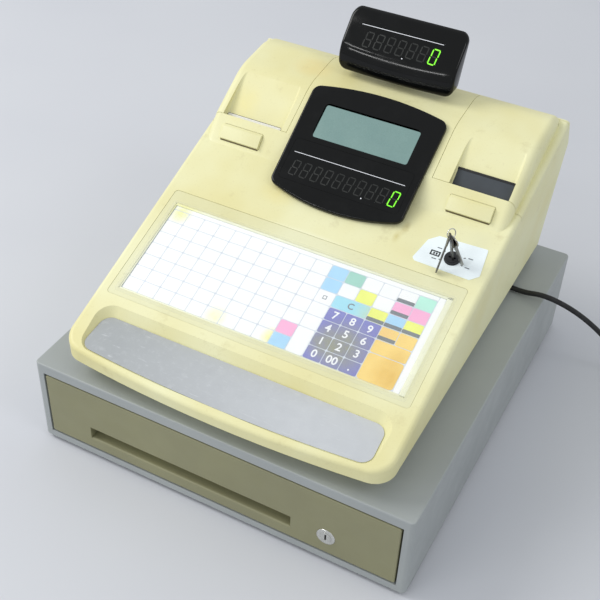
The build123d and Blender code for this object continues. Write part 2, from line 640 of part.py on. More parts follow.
with BuildPart() as upper_case:
    add(OUTER)
    add(case_hollow.part, mode=Mode.SUBTRACT)
    add(tray_pocket_form.part, mode=Mode.SUBTRACT)
    add(keyboard_recess.part, mode=Mode.SUBTRACT)
    for side in (-1, 1):
        add(mirrored(cover_region(COVER_GAP), side), mode=Mode.SUBTRACT)
    # latch holes
    with BuildSketch(RAMP.offset(-24)):
        with Locations((-LATCH_X, LATCH_LOW + LATCH_HEIGHT / 2), (LATCH_X, LATCH_LOW + LATCH_HEIGHT / 2)):
            RectangleRounded(LATCH_WIDTH + 2 * LATCH_GAP, LATCH_HEIGHT + 2 * LATCH_GAP, 1.5)
    extrude(amount=40, mode=Mode.SUBTRACT)
    # display opening
    with BuildSketch(POD.offset(-12)):
        with Locations((0, 58.5)):
            RectangleRounded(140.4, 107.4, 4)
    extrude(amount=25, mode=Mode.SUBTRACT)
    # mode lock hole
    with BuildSketch(DECK.offset(-12)):
        with Locations(LOCK_PLACE):
            Circle(8.3)
    extrude(amount=25, mode=Mode.SUBTRACT)
    with Locations((0, DISPLAY_Y, 300)):
        Cylinder(POLE_R + 0.05, 60, mode=Mode.SUBTRACT)
upper_case.part.label = "upper_case"
export_step(upper_case.part, "parts/upper_case.step")
print("upper_case solids", len(upper_case.part.solids()), upper_case.part.volume)


def cover_hollow(x0, x1):
    """The hollow under a right-hand cover, less its scoop tub and hinge ears."""
    with BuildPart() as body:
        add(INNER)
        add(scoop(x0, x1, WALL), mode=Mode.SUBTRACT)
        for x in COVER_EARS:
            add(bar(HINGE_Y, HINGE_Z, 7.0, x, x + 3), mode=Mode.SUBTRACT)
            gusset = slab([(HINGE_Y - 7, HINGE_Z), (HINGE_Y + 4, HINGE_Z + 5), (HINGE_Y + 4, 345),
                           (HINGE_Y - 34, 345), (HINGE_Y - 34, HINGE_Z + 2)], x, x + 3)
            add(gusset, mode=Mode.SUBTRACT)
    return body.part


def cover(side, x0, x1):
    with BuildPart() as body:
        add(OUTER)
        add(cover_region(0), mode=Mode.INTERSECT)
        add(cover_hollow(x0, x1), mode=Mode.SUBTRACT)
        add(scoop(x0, x1, 0), mode=Mode.SUBTRACT)
        add(bar(HINGE_Y, HINGE_Z, HINGE_PIN_R + PIN_RUN, COVER_INNER - 1, COVER_OUTER), mode=Mode.SUBTRACT)
    return mirrored(body.part, side)


receipt_blank = cover(1, *SCOOP_RIGHT)
journal_blank = cover(-1, *SCOOP_LEFT)
with BuildPart() as receipt_cover:
    add(receipt_blank)
    # paper exit
    add(block(SCOOP_RIGHT[0] + 3, SCOOP_RIGHT[1] - 3, 85.5, 89.5, 255, 290), mode=Mode.SUBTRACT)
receipt_cover.part.label = "receipt_cover"
export_step(receipt_cover.part, "parts/receipt_cover.step")
with BuildPart() as journal_cover:
    add(journal_blank)
    # view slot over the journal paper
    add(block(-SCOOP_LEFT[1] + 1.5, -SCOOP_LEFT[0] - 2, 73.6, 75.4, 240, 280), mode=Mode.SUBTRACT)
journal_cover.part.label = "journal_cover"
export_step(journal_cover.part, "parts/journal_cover.step")
for name, part in (("receipt", receipt_cover.part), ("journal", journal_cover.part)):
    print(name, "cover solids", len(part.solids()), part.volume)


def sloped_plate(x0, x1, y0, y1, thickness):
    """A plate lying on the scoop floor."""
    lift = 0.05
    points = [(y0, scoop_z(y0) + lift), (y1, scoop_z(y1) + lift), (y1, scoop_z(y1) + lift + thickness),
              (y0, scoop_z(y0) + lift + thickness)]
    return slab(points, x0, x1)


cutter_plate = sloped_plate(SCOOP_RIGHT[0] + 4.2, SCOOP_RIGHT[1] - 4.2, 72.0, 84.5, 1.6)
cutter_plate.label = "cutter_plate"
export_step(cutter_plate, "parts/cutter_plate.step")
journal_window = sloped_plate(-SCOOP_LEFT[1] + 4.4, -SCOOP_LEFT[0] - 4.4, 72.2, 76.6, 1.0)
journal_window.label = "journal_window"
export_step(journal_window, "parts/journal_window.step")


# ---------------------------------------------------------------- lower case and feet
def lower_plan(z, inset):
    """Plan of the lower case, which draws in towards its foot."""
    draw = inset + (PARTING_Z - PARTING_GAP - z) * tan(radians(LOWER_TAPER))
    side = PLAN_SIDE - draw
    nose = PLAN_NOSE + draw
    rear = PLAN_REAR - draw
    corner = nose + side * side / (2 * PLAN_BOW_R)
    with BuildSketch(Plane.XY.offset(z)) as plan:
        with BuildLine():
            ThreePointArc((-side, corner), (0, nose), (side, corner))
            Polyline((side, corner), (side, rear), (-side, rear), (-side, corner))
        make_face()
        fillet(plan.vertices().group_by(Axis.Y)[0], radius=FRONT_CORNER_R - draw)
        fillet(plan.vertices().group_by(Axis.Y)[-1], radius=REAR_CORNER_R - draw)
    return plan.sketch


def lower_form(z0, z1, inset):
    with BuildPart() as form:
        add(lower_plan(z0, inset))
        add(lower_plan(z1, inset))
        loft(ruled=True)
    return form.part


def straight_ring(z0, z1, outer, inner):
    """A ring that follows the parting line, with upright walls."""
    with BuildPart() as ring:
        for inset, mode in ((outer, Mode.ADD), (inner, Mode.SUBTRACT)):
            add(lower_plan(PARTING_Z - PARTING_GAP, inset))
            extrude(amount=z1 - z0, mode=mode)
    return Pos(0, 0, z0 - PARTING_Z + PARTING_GAP) * ring.part


LOWER_TOP = PARTING_Z - PARTING_GAP
CORD_Y = 132.3
with BuildPart() as lower_case:
    add(lower_form(LOWER_BOTTOM, LOWER_TOP, 0))
    add(lower_form(LOWER_BOTTOM + WALL, LOWER_TOP + 3, WALL), mode=Mode.SUBTRACT)
    for x in (-150.0, 0.0, 150.0):
        for y in (-190.0, -60.0, 60.0):
            with Locations((x, y, LOWER_BOTTOM + WALL + 3)):
                Cylinder(5, 6.4)
                Cylinder(1.6, 7, mode=Mode.SUBTRACT)
    # tongue that centres the upper case
    add(straight_ring(LOWER_TOP - 4, LOWER_TOP, WALL - 0.1, WALL + 1.8))
    add(straight_ring(LOWER_TOP - 0.2, LOWER_TOP + 3.4, WALL + 0.4, WALL + 1.8))
    # vent slots
    for i in range(9):
        add(block(-60 + 15 * i - 2, -60 + 15 * i + 2, -120, -70, LOWER_BOTTOM - 1, LOWER_BOTTOM + WALL + 1),
            mode=Mode.SUBTRACT)
    # way out for the cord
    add(block(122, 190, CORD_Y - 7, CORD_Y + 7, LOWER_BOTTOM - 3, LOWER_BOTTOM + 8.5), mode=Mode.SUBTRACT)
lower_case.part.label = "lower_case"
export_step(lower_case.part, "parts/lower_case.step")

with BuildPart() as body_feet:
    with BuildSketch(Plane.XY.offset(CABINET_TOP)):
        with GridLocations(300, 370, 2, 2):
            Circle(9)
    extrude(amount=LOWER_BOTTOM - CABINET_TOP)
body_feet.part.label = "body_feet"
export_step(body_feet.part, "parts/body_feet.step")

# ---------------------------------------------------------------- change tray and keyboard
with BuildPart() as change_tray_plate:
    with BuildSketch(TRAY.offset(-1.05)):
        add(tray_outline(0))
    extrude(amount=1.0)
change_tray_plate.part.label = "change_tray_plate"
export_step(change_tray_plate.part, "parts/change_tray_plate.step")

with BuildPart() as keyboard_frame:
    with BuildSketch(DECK.offset(-KEYBOARD_RECESS + 0.05)):
        with Locations((0, KEYBOARD_LENGTH / 2)):
            RectangleRounded(2 * KEYBOARD_HALF, KEYBOARD_LENGTH, 3.7)
        with Locations((0, (SHEET_START + SHEET_END) / 2)):
            Rectangle(2 * SHEET_HALF + 3, SHEET_END - SHEET_START + 4, mode=Mode.SUBTRACT)
    extrude(amount=KEYBOARD_RECESS - 0.35)
keyboard_frame.part.label = "keyboard_frame"
export_step(keyboard_frame.part, "parts/keyboard_frame.step")

with BuildPart() as key_board:
    with BuildSketch(DECK.offset(-KEYBOARD_RECESS - 3.1)):
        with Locations((0, KEYBOARD_LENGTH / 2)):
            Rectangle(2 * KEYBOARD_HALF - 9, KEYBOARD_LENGTH - 9)
    extrude(amount=3.0)
key_board.part.label = "key_board"
export_step(key_board.part, "parts/key_board.step")

with BuildPart() as key_sheet:
    with BuildSketch(DECK.offset(-KEYBOARD_RECESS - 0.05)):
        with Locations((0, (SHEET_START + SHEET_END) / 2)):
            Rectangle(2 * SHEET_HALF, SHEET_END - SHEET_START)
    extrude(amount=0.8)
key_sheet.part.label = "key_sheet"
export_step(key_sheet.part, "parts/key_sheet.step")

COVER_MIDDLE = (4.6 + 129.8) / 2
with BuildPart() as keyboard_cover:
    with BuildSketch(DECK.offset(-0.25)):
        with Locations((0, COVER_MIDDLE)):
            RectangleRounded(328, 125.2, 3)
    extrude(amount=4.25)
    top = keyboard_cover.faces().sort_by(SortBy.AREA)[-2:].sort_by(Axis.Z)[-1]
    chamfer(top.edges(), length=2.6)
    with BuildSketch(DECK.offset(-0.25)):
        with Locations((0, COVER_MIDDLE)):
            Rectangle(321, 118.2)
    extrude(amount=2.6, mode=Mode.SUBTRACT)
keyboard_cover.part.label = "keyboard_cover"
export_step(keyboard_cover.part, "parts/keyboard_cover.step")


# ---------------------------------------------------------------- operator display pod
def pod_outline(grow):
    with BuildSketch() as outline:
        with BuildLine():
            ThreePointArc((-77.4 - grow, 1.0), (0, -13.0 - grow), (77.4 + grow, 1.0))
            Line((77.4 + grow, 1.0), (79.3 + grow, 123.5))
            ThreePointArc((79.3 + grow, 123.5), (0, 132.8 + grow), (-79.3 - grow, 123.5))
            Line((-79.3 - grow, 123.5), (-77.4 - grow, 1.0))
        make_face()
        fillet(outline.vertices(), radius=10)
    return outline.sketch


with BuildPart() as display_bezel:
    with BuildSketch(POD):
        add(pod_outline(0))
    extrude(amount=5.0)
    top = display_bezel.faces().filter_by(lambda f: f.normal_at().dot(POD.z_dir) > 0.9999)
    fillet(top.sort_by(SortBy.AREA)[-1].edges(), radius=2.4)
    # rim that goes down into the case
    with BuildSketch(POD.offset(-6)):
        with Locations((0, 58.5)):
            RectangleRounded(139.8, 106.8, 4)
            RectangleRounded(135.8, 102.8, 2, mode=Mode.SUBTRACT)
    extrude(amount=6.5)
    with BuildSketch(POD.offset(-1)):
        with Locations((0, 86)):
            RectangleRounded(111.6, 40, 5)
        with Locations((0, 32)):
            RectangleRounded(134, 44, 3)
    extrude(amount=10, mode=Mode.SUBTRACT)
    with BuildSketch(POD.offset(2.8)):
        with Locations((0, 32)):
            RectangleRounded(140, 50, 4)
    extrude(amount=10, mode=Mode.SUBTRACT)
display_bezel.part.label = "display_bezel"
export_step(display_bezel.part, "parts/display_bezel.step")

with BuildPart() as display_lens:
    with BuildSketch(POD.offset(2.85)):
        with Locations((0, 32)):
            RectangleRounded(139.6, 49.6, 3.8)
    extrude(amount=2.1)
display_lens.part.label = "display_lens"
export_step(display_lens.part, "parts/display_lens.step")

with BuildPart() as lcd_module:
    with BuildSketch(POD.offset(-4.5)):
        with Locations((0, 86)):
            Rectangle(124, 46)
    extrude(amount=4.4)
lcd_module.part.label = "lcd_module"
export_step(lcd_module.part, "parts/lcd_module.step")

with BuildPart() as digit_module:
    with BuildSketch(POD.offset(-5)):
        with Locations((0, 31)):
            Rectangle(128, 38)
    extrude(amount=4.9)
    with BuildSketch(POD.offset(-0.2)):
        with Locations((0, 24)):
            Rectangle(126, 22)
    extrude(amount=2.2)
digit_module.part.label = "digit_module"
export_step(digit_module.part, "parts/digit_module.step")

# ---------------------------------------------------------------- mode lock and keys
LABEL_POINTS = [(103.2, 158.0), (106.5, 154.9), (165.9, 153.5), (174.1, 161.1), (170.3, 194.3), (118.4, 192.1),
                (109.2, 183.7)]
with BuildPart() as mode_plate:
    with BuildSketch(DECK.offset(0.02)) as label_sketch:
        with BuildLine():
            Polyline(*LABEL_POINTS, close=True)
        make_face()
        fillet(label_sketch.vertices(), radius=2.0)
        with Locations(LOCK_PLACE):
            Circle(8.4, mode=Mode.SUBTRACT)
    extrude(amount=0.6)
mode_plate.part.label = "mode_plate"
export_step(mode_plate.part, "parts/mode_plate.step")

LOCK_ORIGIN = DECK.from_local_coords((LOCK_PLACE[0], LOCK_PLACE[1], 0))
LOCK = Plane(origin=LOCK_ORIGIN, x_dir=(1, 0, 0), z_dir=DECK.z_dir)


def on_lock(z0, z1, radius):
    with BuildPart() as body:
        with BuildSketch(LOCK.offset(z0)):
            Circle(radius)
        extrude(amount=z1 - z0)
    return body.part


with BuildPart() as mode_lock_body:
    add(on_lock(-20, 2.4, 8.0))
    add(on_lock(-5.0, -2.7, 11.0))
    add(on_lock(-17, 5, 6.06), mode=Mode.SUBTRACT)
mode_lock_body.part.label = "mode_lock_body"
export_step(mode_lock_body.part, "parts/mode_lock_body.step")

with BuildPart() as mode_lock_plug:
    add(on_lock(-16.9, 2.8, 6.0))
    with BuildSketch(LOCK.offset(-12)):
        Rectangle(7.6, 1.8)
    extrude(amount=20, mode=Mode.SUBTRACT)
mode_lock_plug.part.label = "mode_lock_plug"
export_step(mode_lock_plug.part, "parts/mode_lock_plug.step")

KEY_HOLE_HEIGHT = 43.0
KEY_SIDE = Plane(origin=LOCK_ORIGIN, x_dir=(1, 0, 0), z_dir=LOCK.y_dir * -1)
with BuildPart() as mode_key:
    with BuildSketch(KEY_SIDE.offset(-0.8)):
        with Locations((0, 12)):
            Rectangle(7.2, 46)
        with Locations((0, KEY_HOLE_HEIGHT - 4)):
            Circle(9.5)
        with Locations((0, KEY_HOLE_HEIGHT)):
            Circle(3.0, mode=Mode.SUBTRACT)
    extrude(amount=1.6)
mode_key.part.label = "mode_key"
export_step(mode_key.part, "parts/mode_key.step")

RING_R = 8.0
RING_WIRE = 0.8
RING_CENTRE = LOCK.from_local_coords((0, -5.0, KEY_HOLE_HEIGHT + 6.2))
with BuildPart() as key_ring:
    with BuildSketch(Plane(origin=RING_CENTRE, x_dir=(0, 1, 0), z_dir=(0, 0, 1))) as ring_section:
        with Locations((RING_R, 0)):
            Circle(RING_WIRE)
    revolve(ring_section.sketch, axis=Axis(RING_CENTRE, (1, 0, 0)), revolution_arc=360)
key_ring.part.label = "key_ring"
export_step(key_ring.part, "parts/key_ring.step")

SPARE_THICK = 1.2
with BuildPart() as spare_keys:
    for lean, shift in ((22, 1.4), (-20, -0.2)):
        turn = radians(lean)
        origin = Vector(RING_CENTRE.X, RING_CENTRE.Y + shift, RING_CENTRE.Z - RING_R)
        with BuildSketch(Plane(origin=origin, x_dir=(cos(turn), 0, sin(turn)), z_dir=(0, -1, 0))):
            with Locations((0, -6)):
                Circle(8.5)
            with Locations((0, -26)):
                Rectangle(5.6, 28)
            with Locations((0, -0.9)):
                Circle(2.0, mode=Mode.SUBTRACT)
        extrude(amount=SPARE_THICK)
spare_keys.part.label = "spare_keys"
export_step(spare_keys.part, "parts/spare_keys.step")

# ---------------------------------------------------------------- cover latch buttons
with BuildPart() as latch_right:
    with BuildSketch(RAMP.offset(-LATCH_DEPTH)):
        with Locations((LATCH_X, LATCH_LOW + LATCH_HEIGHT / 2)):
            RectangleRounded(LATCH_WIDTH, LATCH_HEIGHT, 1.2)
    extrude(amount=LATCH_DEPTH + LATCH_PROUD)
    face = latch_right.faces().filter_by(lambda f: f.normal_at().dot(RAMP.z_dir) > 0.9999)
    fillet(face.sort_by(SortBy.AREA)[-1].edges(), radius=0.7)
    with BuildSketch(RAMP.offset(-LATCH_DEPTH)):
        with Locations((LATCH_X, 13.3)):
            Rectangle(LATCH_WIDTH + 5, LATCH_HEIGHT + 2.8)
    extrude(amount=1.4)
for side, word in ((1, "right"), (-1, "left")):
    button = mirrored(latch_right.part, side)
    button.label = f"latch_button_{word}"
    export_step(button, f"parts/latch_button_{word}.step")


# ---------------------------------------------------------------- printers under the covers
def printer_chassis(spool):
    """Right-hand printer frame: two cheeks, floor, print head, roll spindle and cover hinge pin."""
    cheek = [(76, 119), (104, 119), (110, 128), (176, 128), (182, 119), (206, 119), (206, 255), (192, 268),
             (192, 298), (186, 298), (186, 268), (160, 261), (110, 261), (90, 257), (76, 249)]
    with BuildPart() as body:
        for x in (CHASSIS_INNER, CHASSIS_OUTER - CHASSIS_SHEET):
            add(slab(cheek, x, x + CHASSIS_SHEET))
            add(bar(HINGE_Y, HINGE_Z, 4.5, x, x + CHASSIS_SHEET))
            # lightening windows
            add(slab([(110, 136), (196, 136), (196, 168), (110, 168)], x - 1, x + 3), mode=Mode.SUBTRACT)
            add(bar(PLATEN_Y, PLATEN_Z, SHAFT_R + PIN_RUN, x - 1, x + 3), mode=Mode.SUBTRACT)
            if spool:
                add(bar(SPOOL_Y, SPOOL_Z, SHAFT_R + PIN_RUN, x - 1, x + 3), mode=Mode.SUBTRACT)
        add(block(CHASSIS_INNER, CHASSIS_OUTER, 76, 206, 128, 128 + CHASSIS_SHEET))
        add(bar(HINGE_Y, HINGE_Z, HINGE_PIN_R, CHASSIS_INNER - 1, CHASSIS_OUTER + 1))
        add(bar(ROLL_Y, ROLL_Z, SPINDLE_R, CHASSIS_INNER, CHASSIS_OUTER))
        add(block(CHASSIS_INNER, CHASSIS_OUTER, 77, 88, 230, 247))
        add(block(112, 158, 70, 78, 233, 244))
    return body.part


chassis_right = printer_chassis(False)
chassis_right.label = "receipt_chassis"
export_step(chassis_right, "parts/receipt_chassis.step")
chassis_left = mirrored(printer_chassis(True), -1)
chassis_left.label = "journal_chassis"
export_step(chassis_left, "parts/journal_chassis.step")

with BuildPart() as platen_right:
    add(bar(PLATEN_Y, PLATEN_Z, PLATEN_R, 101, 169))
    add(bar(PLATEN_Y, PLATEN_Z, SHAFT_R, 92.5, 173.5))
    add(bar(PLATEN_Y, PLATEN_Z, 9.0, 92.5, 96.5))
    for i in range(16):
        angle = 2 * pi * i / 16
        add(bar(PLATEN_Y + 9 * cos(angle), PLATEN_Z + 9 * sin(angle), 0.8, 92.5, 96.5), mode=Mode.SUBTRACT)
with BuildPart() as roll_right:
    add(bar(ROLL_Y, ROLL_Z, ROLL_R, 106.5, 163.5))
    add(bar(ROLL_Y, ROLL_Z, SPINDLE_R + PIN_RUN, 100, 170), mode=Mode.SUBTRACT)
for side, word in ((1, "receipt"), (-1, "journal")):
    platen = mirrored(platen_right.part, side)
    platen.label = f"{word}_platen"
    export_step(platen, f"parts/{word}_platen.step")
    roll = mirrored(roll_right.part, side)
    roll.label = f"{word}_roll"
    export_step(roll, f"parts/{word}_roll.step")

with BuildPart() as spool_right:
    add(bar(SPOOL_Y, SPOOL_Z, 8.0, 104, 166))
    add(bar(SPOOL_Y, SPOOL_Z, 21.0, 104, 106))
    add(bar(SPOOL_Y, SPOOL_Z, 21.0, 164, 166))
    add(bar(SPOOL_Y, SPOOL_Z, SHAFT_R, 96, 174))
journal_spool = mirrored(spool_right.part, -1)
journal_spool.label = "journal_spool"
export_step(journal_spool, "parts/journal_spool.step")

BOARD_LOW = LOWER_BOTTOM + WALL + 6.3
with BuildPart() as main_board:
    add(block(-82, 82, -200, 100, BOARD_LOW, BOARD_LOW + 1.6))
    for x, y, w, d, h in ((-50, -150, 40, 18, 5), (-50, -110, 40, 18, 5), (20, -120, 50, 50, 4), (-40, 0, 30, 60, 14),
                          (40, 10, 24, 24, 24), (50, 70, 40, 12, 10)):
        add(block(x - w / 2, x + w / 2, y - d / 2, y + d / 2, BOARD_LOW + 1.5, BOARD_LOW + 1.6 + h))
main_board.part.label = "main_board"
export_step(main_board.part, "parts/main_board.step")

with BuildPart() as transformer:
    add(block(-70, 2, 140, 196, 125, 165))
    add(block(-56, -12, 126, 210, 130, 160))
    for x in (-64.0, -4.0):
        add(block(x - 5, x + 5, 134, 202, LOWER_BOTTOM + WALL + 0.05, 126))
transformer.part.label = "transformer"
export_step(transformer.part, "parts/transformer.step")

# ---------------------------------------------------------------- customer display
with BuildPart() as display_pole:
    with Locations((0, DISPLAY_Y, 312)):
        Cylinder(POLE_R, 64)
    with Locations((0, DISPLAY_Y, 281)):
        Cylinder(POLE_R + 2.5, 1.8)
    with Locations((0, DISPLAY_Y, (311.9 + COLLAR_TOP) / 2)):
        Cylinder(POLE_R + 3, COLLAR_TOP - 311.9)
    with Locations((0, DISPLAY_Y, 312)):
        Cylinder(POLE_R - 2.5, 70, mode=Mode.SUBTRACT)
display_pole.part.label = "display_pole"
export_step(display_pole.part, "parts/display_pole.step")

HEAD_POINTS = [(150, HEAD_LOW), (150, 340), (175.5, 362), (187, 376), (196, 376), (199.5, 345), (198, HEAD_LOW)]
FACE_ANGLE = degrees(atan2(22, 25.5))
HEAD_FACE = tilted((0, 150, 340), FACE_ANGLE)


def head_form(inset):
    body = profile(HEAD_POINTS, [], inset, HEAD_HALF)
    middle = (HEAD_LOW + 376) / 2
    with BuildPart() as corners:
        with BuildSketch(Plane.XZ.offset(-260)):
            with Locations((0, middle)):
                RectangleRounded(2 * HEAD_HALF - 2 * inset, 376 - HEAD_LOW - 2 * inset, 9 - inset)
        extrude(amount=160)
    return body & corners.part


HEAD_OUTER = head_form(0)
HEAD_INNER = head_form(2.2)
with BuildPart() as display_head:
    add(HEAD_OUTER)
    add(HEAD_INNER, mode=Mode.SUBTRACT)
    with Locations((0, DISPLAY_Y, (HEAD_LOW + 338) / 2)):
        Cylinder(POLE_R + 2.5, 338 - HEAD_LOW)
        Cylinder(POLE_R + 0.06, 60, mode=Mode.SUBTRACT)
    with BuildSketch(HEAD_FACE.offset(-6)):
        with Locations((0, 17)):
            Rectangle(116, 22)
    extrude(amount=20, mode=Mode.SUBTRACT)
    with BuildSketch(HEAD_FACE.offset(-1.2)):
        with Locations((0, 17)):
            Rectangle(122, 28)
    extrude(amount=20, mode=Mode.SUBTRACT)
display_head.part.label = "display_head"
export_step(display_head.part, "parts/display_head.step")

with BuildPart() as head_window:
    with BuildSketch(HEAD_FACE.offset(-1.15)):
        with Locations((0, 17)):
            Rectangle(121.6, 27.6)
    extrude(amount=1.1)
head_window.part.label = "head_window"
export_step(head_window.part, "parts/head_window.step")

with BuildPart() as head_digits:
    with BuildSketch(HEAD_FACE.offset(-9)):
        with Locations((0, 17)):
            Rectangle(114, 20)
    extrude(amount=7.0)
    # carrier arms down to the neck
    add(block(-40, -30, 166, 176, 337, 350))
    add(block(30, 40, 166, 176, 337, 350))
head_digits.part.label = "head_digits"
export_step(head_digits.part, "parts/head_digits.step")

# ---------------------------------------------------------------- cord
CORD_Z = 117.0
with BuildPart() as cord_sleeve:
    with BuildSketch(Plane.YZ.offset(122.5)):
        with Locations((CORD_Y, CORD_Z)):
            Circle(6.4)
    with BuildSketch(Plane.YZ.offset(150.5)):
        with Locations((CORD_Y, CORD_Z)):
            Circle(4.2)
    loft()
    add(bar(CORD_Y, CORD_Z, CORD_R + 0.05, 110, 160), mode=Mode.SUBTRACT)
cord_sleeve.part.label = "cord_sleeve"
export_step(cord_sleeve.part, "parts/cord_sleeve.step")

CORD_POINTS = [(125, CORD_Y, CORD_Z), (153, CORD_Y, CORD_Z), (190, 130.1, 113.6), (216, 127.5, 122.5), (252, 136, 108),
               (284, 153, 76), (306, 170, 40), (323, 192, 3.3), (334.8, 226.7, 3.3)]
TURN_SHARE = 0.45


def bend_radii(points):
    """Largest round bend that fits each corner of the cord's route."""
    vectors = [Vector(*point) for point in points]
    radii = []
    for before, here, after in zip(vectors, vectors[1:], vectors[2:]):
        first = here - before
        second = after - here
        turn = radians(first.get_angle(second))
        radii.append(TURN_SHARE * min(first.length, second.length) / tan(turn / 2))
    return radii


CORD_RADII = bend_radii(CORD_POINTS)
with BuildPart() as power_cord:
    with BuildLine() as route:
        FilletPolyline(*CORD_POINTS, radius=CORD_RADII)
    with BuildSketch(Plane(origin=CORD_POINTS[0], z_dir=(1, 0, 0))) as section:
        Circle(CORD_R)
    sweep()
power_cord.part.label = "power_cord"
export_step(power_cord.part, "parts/power_cord.step")
print("cord length", route.wire().length, "volume over section", power_cord.part.volume / (pi * CORD_R * CORD_R),
      "bends", [round(radius, 1) for radius in CORD_RADII])

with BuildPart() as cord_coil:
    with BuildSketch(Plane(origin=(COIL_PLACE[0], COIL_PLACE[1], 0), x_dir=(1, 0, 0), z_dir=(0, -1, 0))) as turns:
        with Locations((33.0, 6.1)):
            Rectangle(12.0, 6.2)
        for radius in (27.0, 33.0, 39.0):
            for height in (3.3, 8.9):
                with Locations((radius, height)):
                    Circle(3.1)
    revolve(turns.sketch, axis=Axis((COIL_PLACE[0], COIL_PLACE[1], 0), (0, 0, 1)))
cord_coil.part.label = "cord_coil"
export_step(cord_coil.part, "parts/cord_coil.step")

PLUG_X = COIL_PLACE[0] + 39.0
with BuildPart() as plug:
    add(rod(PLUG_X, 8.2, 3.0, 172, 176))
    add(block(PLUG_X - 12, PLUG_X + 12, 132, 158, 0.4, 16))
    fillet(plug.edges().filter_by(Axis.Y).filter_by(lambda e: e.length > 20), radius=4)
    with BuildSketch(Plane.XZ.offset(-158)):
        with Locations((PLUG_X, 8.2)):
            Circle(6.0)
    with BuildSketch(Plane.XZ.offset(-186)):
        with Locations((PLUG_X, 8.2)):
            Circle(3.6)
    loft()
    add(rod(PLUG_X, 8.2, CORD_R, 180, COIL_PLACE[1]))
    for x in (PLUG_X - 6.35, PLUG_X + 6.35):
        add(block(x - 0.75, x + 0.75, 116, 133, 5.0, 11.4))
plug.part.label = "plug"
export_step(plug.part, "parts/plug.step")
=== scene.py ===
import math

import bmesh
import bpy
from bpy.props import FloatProperty, FloatVectorProperty, IntProperty, PointerProperty
from mathutils import Matrix, Vector


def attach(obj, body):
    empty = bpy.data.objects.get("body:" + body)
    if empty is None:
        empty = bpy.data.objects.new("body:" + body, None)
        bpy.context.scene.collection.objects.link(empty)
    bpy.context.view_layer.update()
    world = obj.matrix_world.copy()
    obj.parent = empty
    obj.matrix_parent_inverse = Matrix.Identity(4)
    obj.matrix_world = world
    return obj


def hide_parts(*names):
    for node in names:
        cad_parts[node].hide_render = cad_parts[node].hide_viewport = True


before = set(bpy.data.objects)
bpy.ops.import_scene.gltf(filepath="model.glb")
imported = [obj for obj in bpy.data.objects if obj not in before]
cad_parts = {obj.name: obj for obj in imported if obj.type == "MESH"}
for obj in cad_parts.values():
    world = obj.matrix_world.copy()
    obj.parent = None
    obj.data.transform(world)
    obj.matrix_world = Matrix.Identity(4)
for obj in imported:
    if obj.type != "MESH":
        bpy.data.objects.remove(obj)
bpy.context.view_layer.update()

bl_info = {
    "name": "Ticket register details",
    "version": (1, 0, 0),
    "blender": (4, 5, 0),
    "location": "3D View > Sidebar > Register",
    "description": "Finishes and small parts of a ticket register on its cash drawer",
    "category": "Object",
}

MM = 0.001


def rgb(red, green, blue):
    """A colour written as 0 to 255, as the shaders want it."""
    parts = [value / 255 for value in (red, green, blue)]
    return (*(p / 12.92 if p <= 0.04045 else ((p + 0.055) / 1.055) ** 2.4 for p in parts), 1.0)


def sloping(y, z, angle):
    """A plane on the middle line, given in millimetres: its X runs right and its Y up the slope."""
    turn = Matrix.Rotation(math.radians(angle), 4, "X")
    return Matrix.Translation(Vector((0, y, z)) * MM) @ turn


# The sloping faces: the deck, the display pod, the turning display, the printer covers and the
# ramps of their latch buttons. The turning display's face starts at the crease over its upright band.
HEAD_CREASE = (150.0, 340.0)
DECK = sloping(-160.7, 172.2, 19.22)
POD = sloping(16.0, 237.2, 31.9)
HEAD_FACE = sloping(*HEAD_CREASE, 45.5)
COVERS = sloping(118.0, 300.7, 41.5)
RAMP = sloping(46.0, 244.27, 49.301)
LOCK_AT = (141.0, 170.8)  # the mode lock, in millimetres on the deck


def on_deck(x, along, height=0.0):
    """A point in metres, from millimetres on the deck."""
    return DECK @ (Vector((x, along, height)) * MM)


# ------------------------------------------------------------------ workshop helpers
def clear_selection():
    if bpy.context.mode != "OBJECT":
        bpy.ops.object.mode_set(mode="OBJECT")
    bpy.ops.object.select_all(action="DESELECT")


def only(*things):
    clear_selection()
    for thing in things:
        thing.select_set(True)
    bpy.context.view_layer.objects.active = things[0]


def settle(piece, place=Matrix()):
    """Carries a piece to its plane and leaves its place in its mesh."""
    only(piece)
    piece.matrix_basis = place @ piece.matrix_basis
    bpy.ops.object.transform_apply(location=True, rotation=True, scale=True)
    return piece


def twin(piece, place=Matrix()):
    """A copy with a mesh of its own, moved by place."""
    copy = piece.copy()
    copy.data = piece.data.copy()
    bpy.context.scene.collection.objects.link(copy)
    return settle(copy, place)


def joined(pieces, name):
    only(*pieces)
    if len(pieces) > 1:
        bpy.ops.object.join()
    piece = bpy.context.view_layer.objects.active
    piece.name = name
    piece.data.name = name
    return piece


def drop(*pieces):
    only(*pieces)
    bpy.ops.object.delete()


def painted(piece, material):
    piece.data.materials.clear()
    piece.data.materials.append(material)
    return piece


def opened(piece):
    """Opens a piece's mesh with everything in it selected."""
    only(piece)
    bpy.ops.object.mode_set(mode="EDIT")
    bpy.ops.mesh.select_all(action="SELECT")


def closed(piece):
    """Turns every face of the open mesh outwards and closes it."""
    bpy.ops.mesh.select_all(action="SELECT")
    bpy.ops.mesh.normals_make_consistent(inside=False)
    bpy.ops.object.mode_set(mode="OBJECT")
    return piece


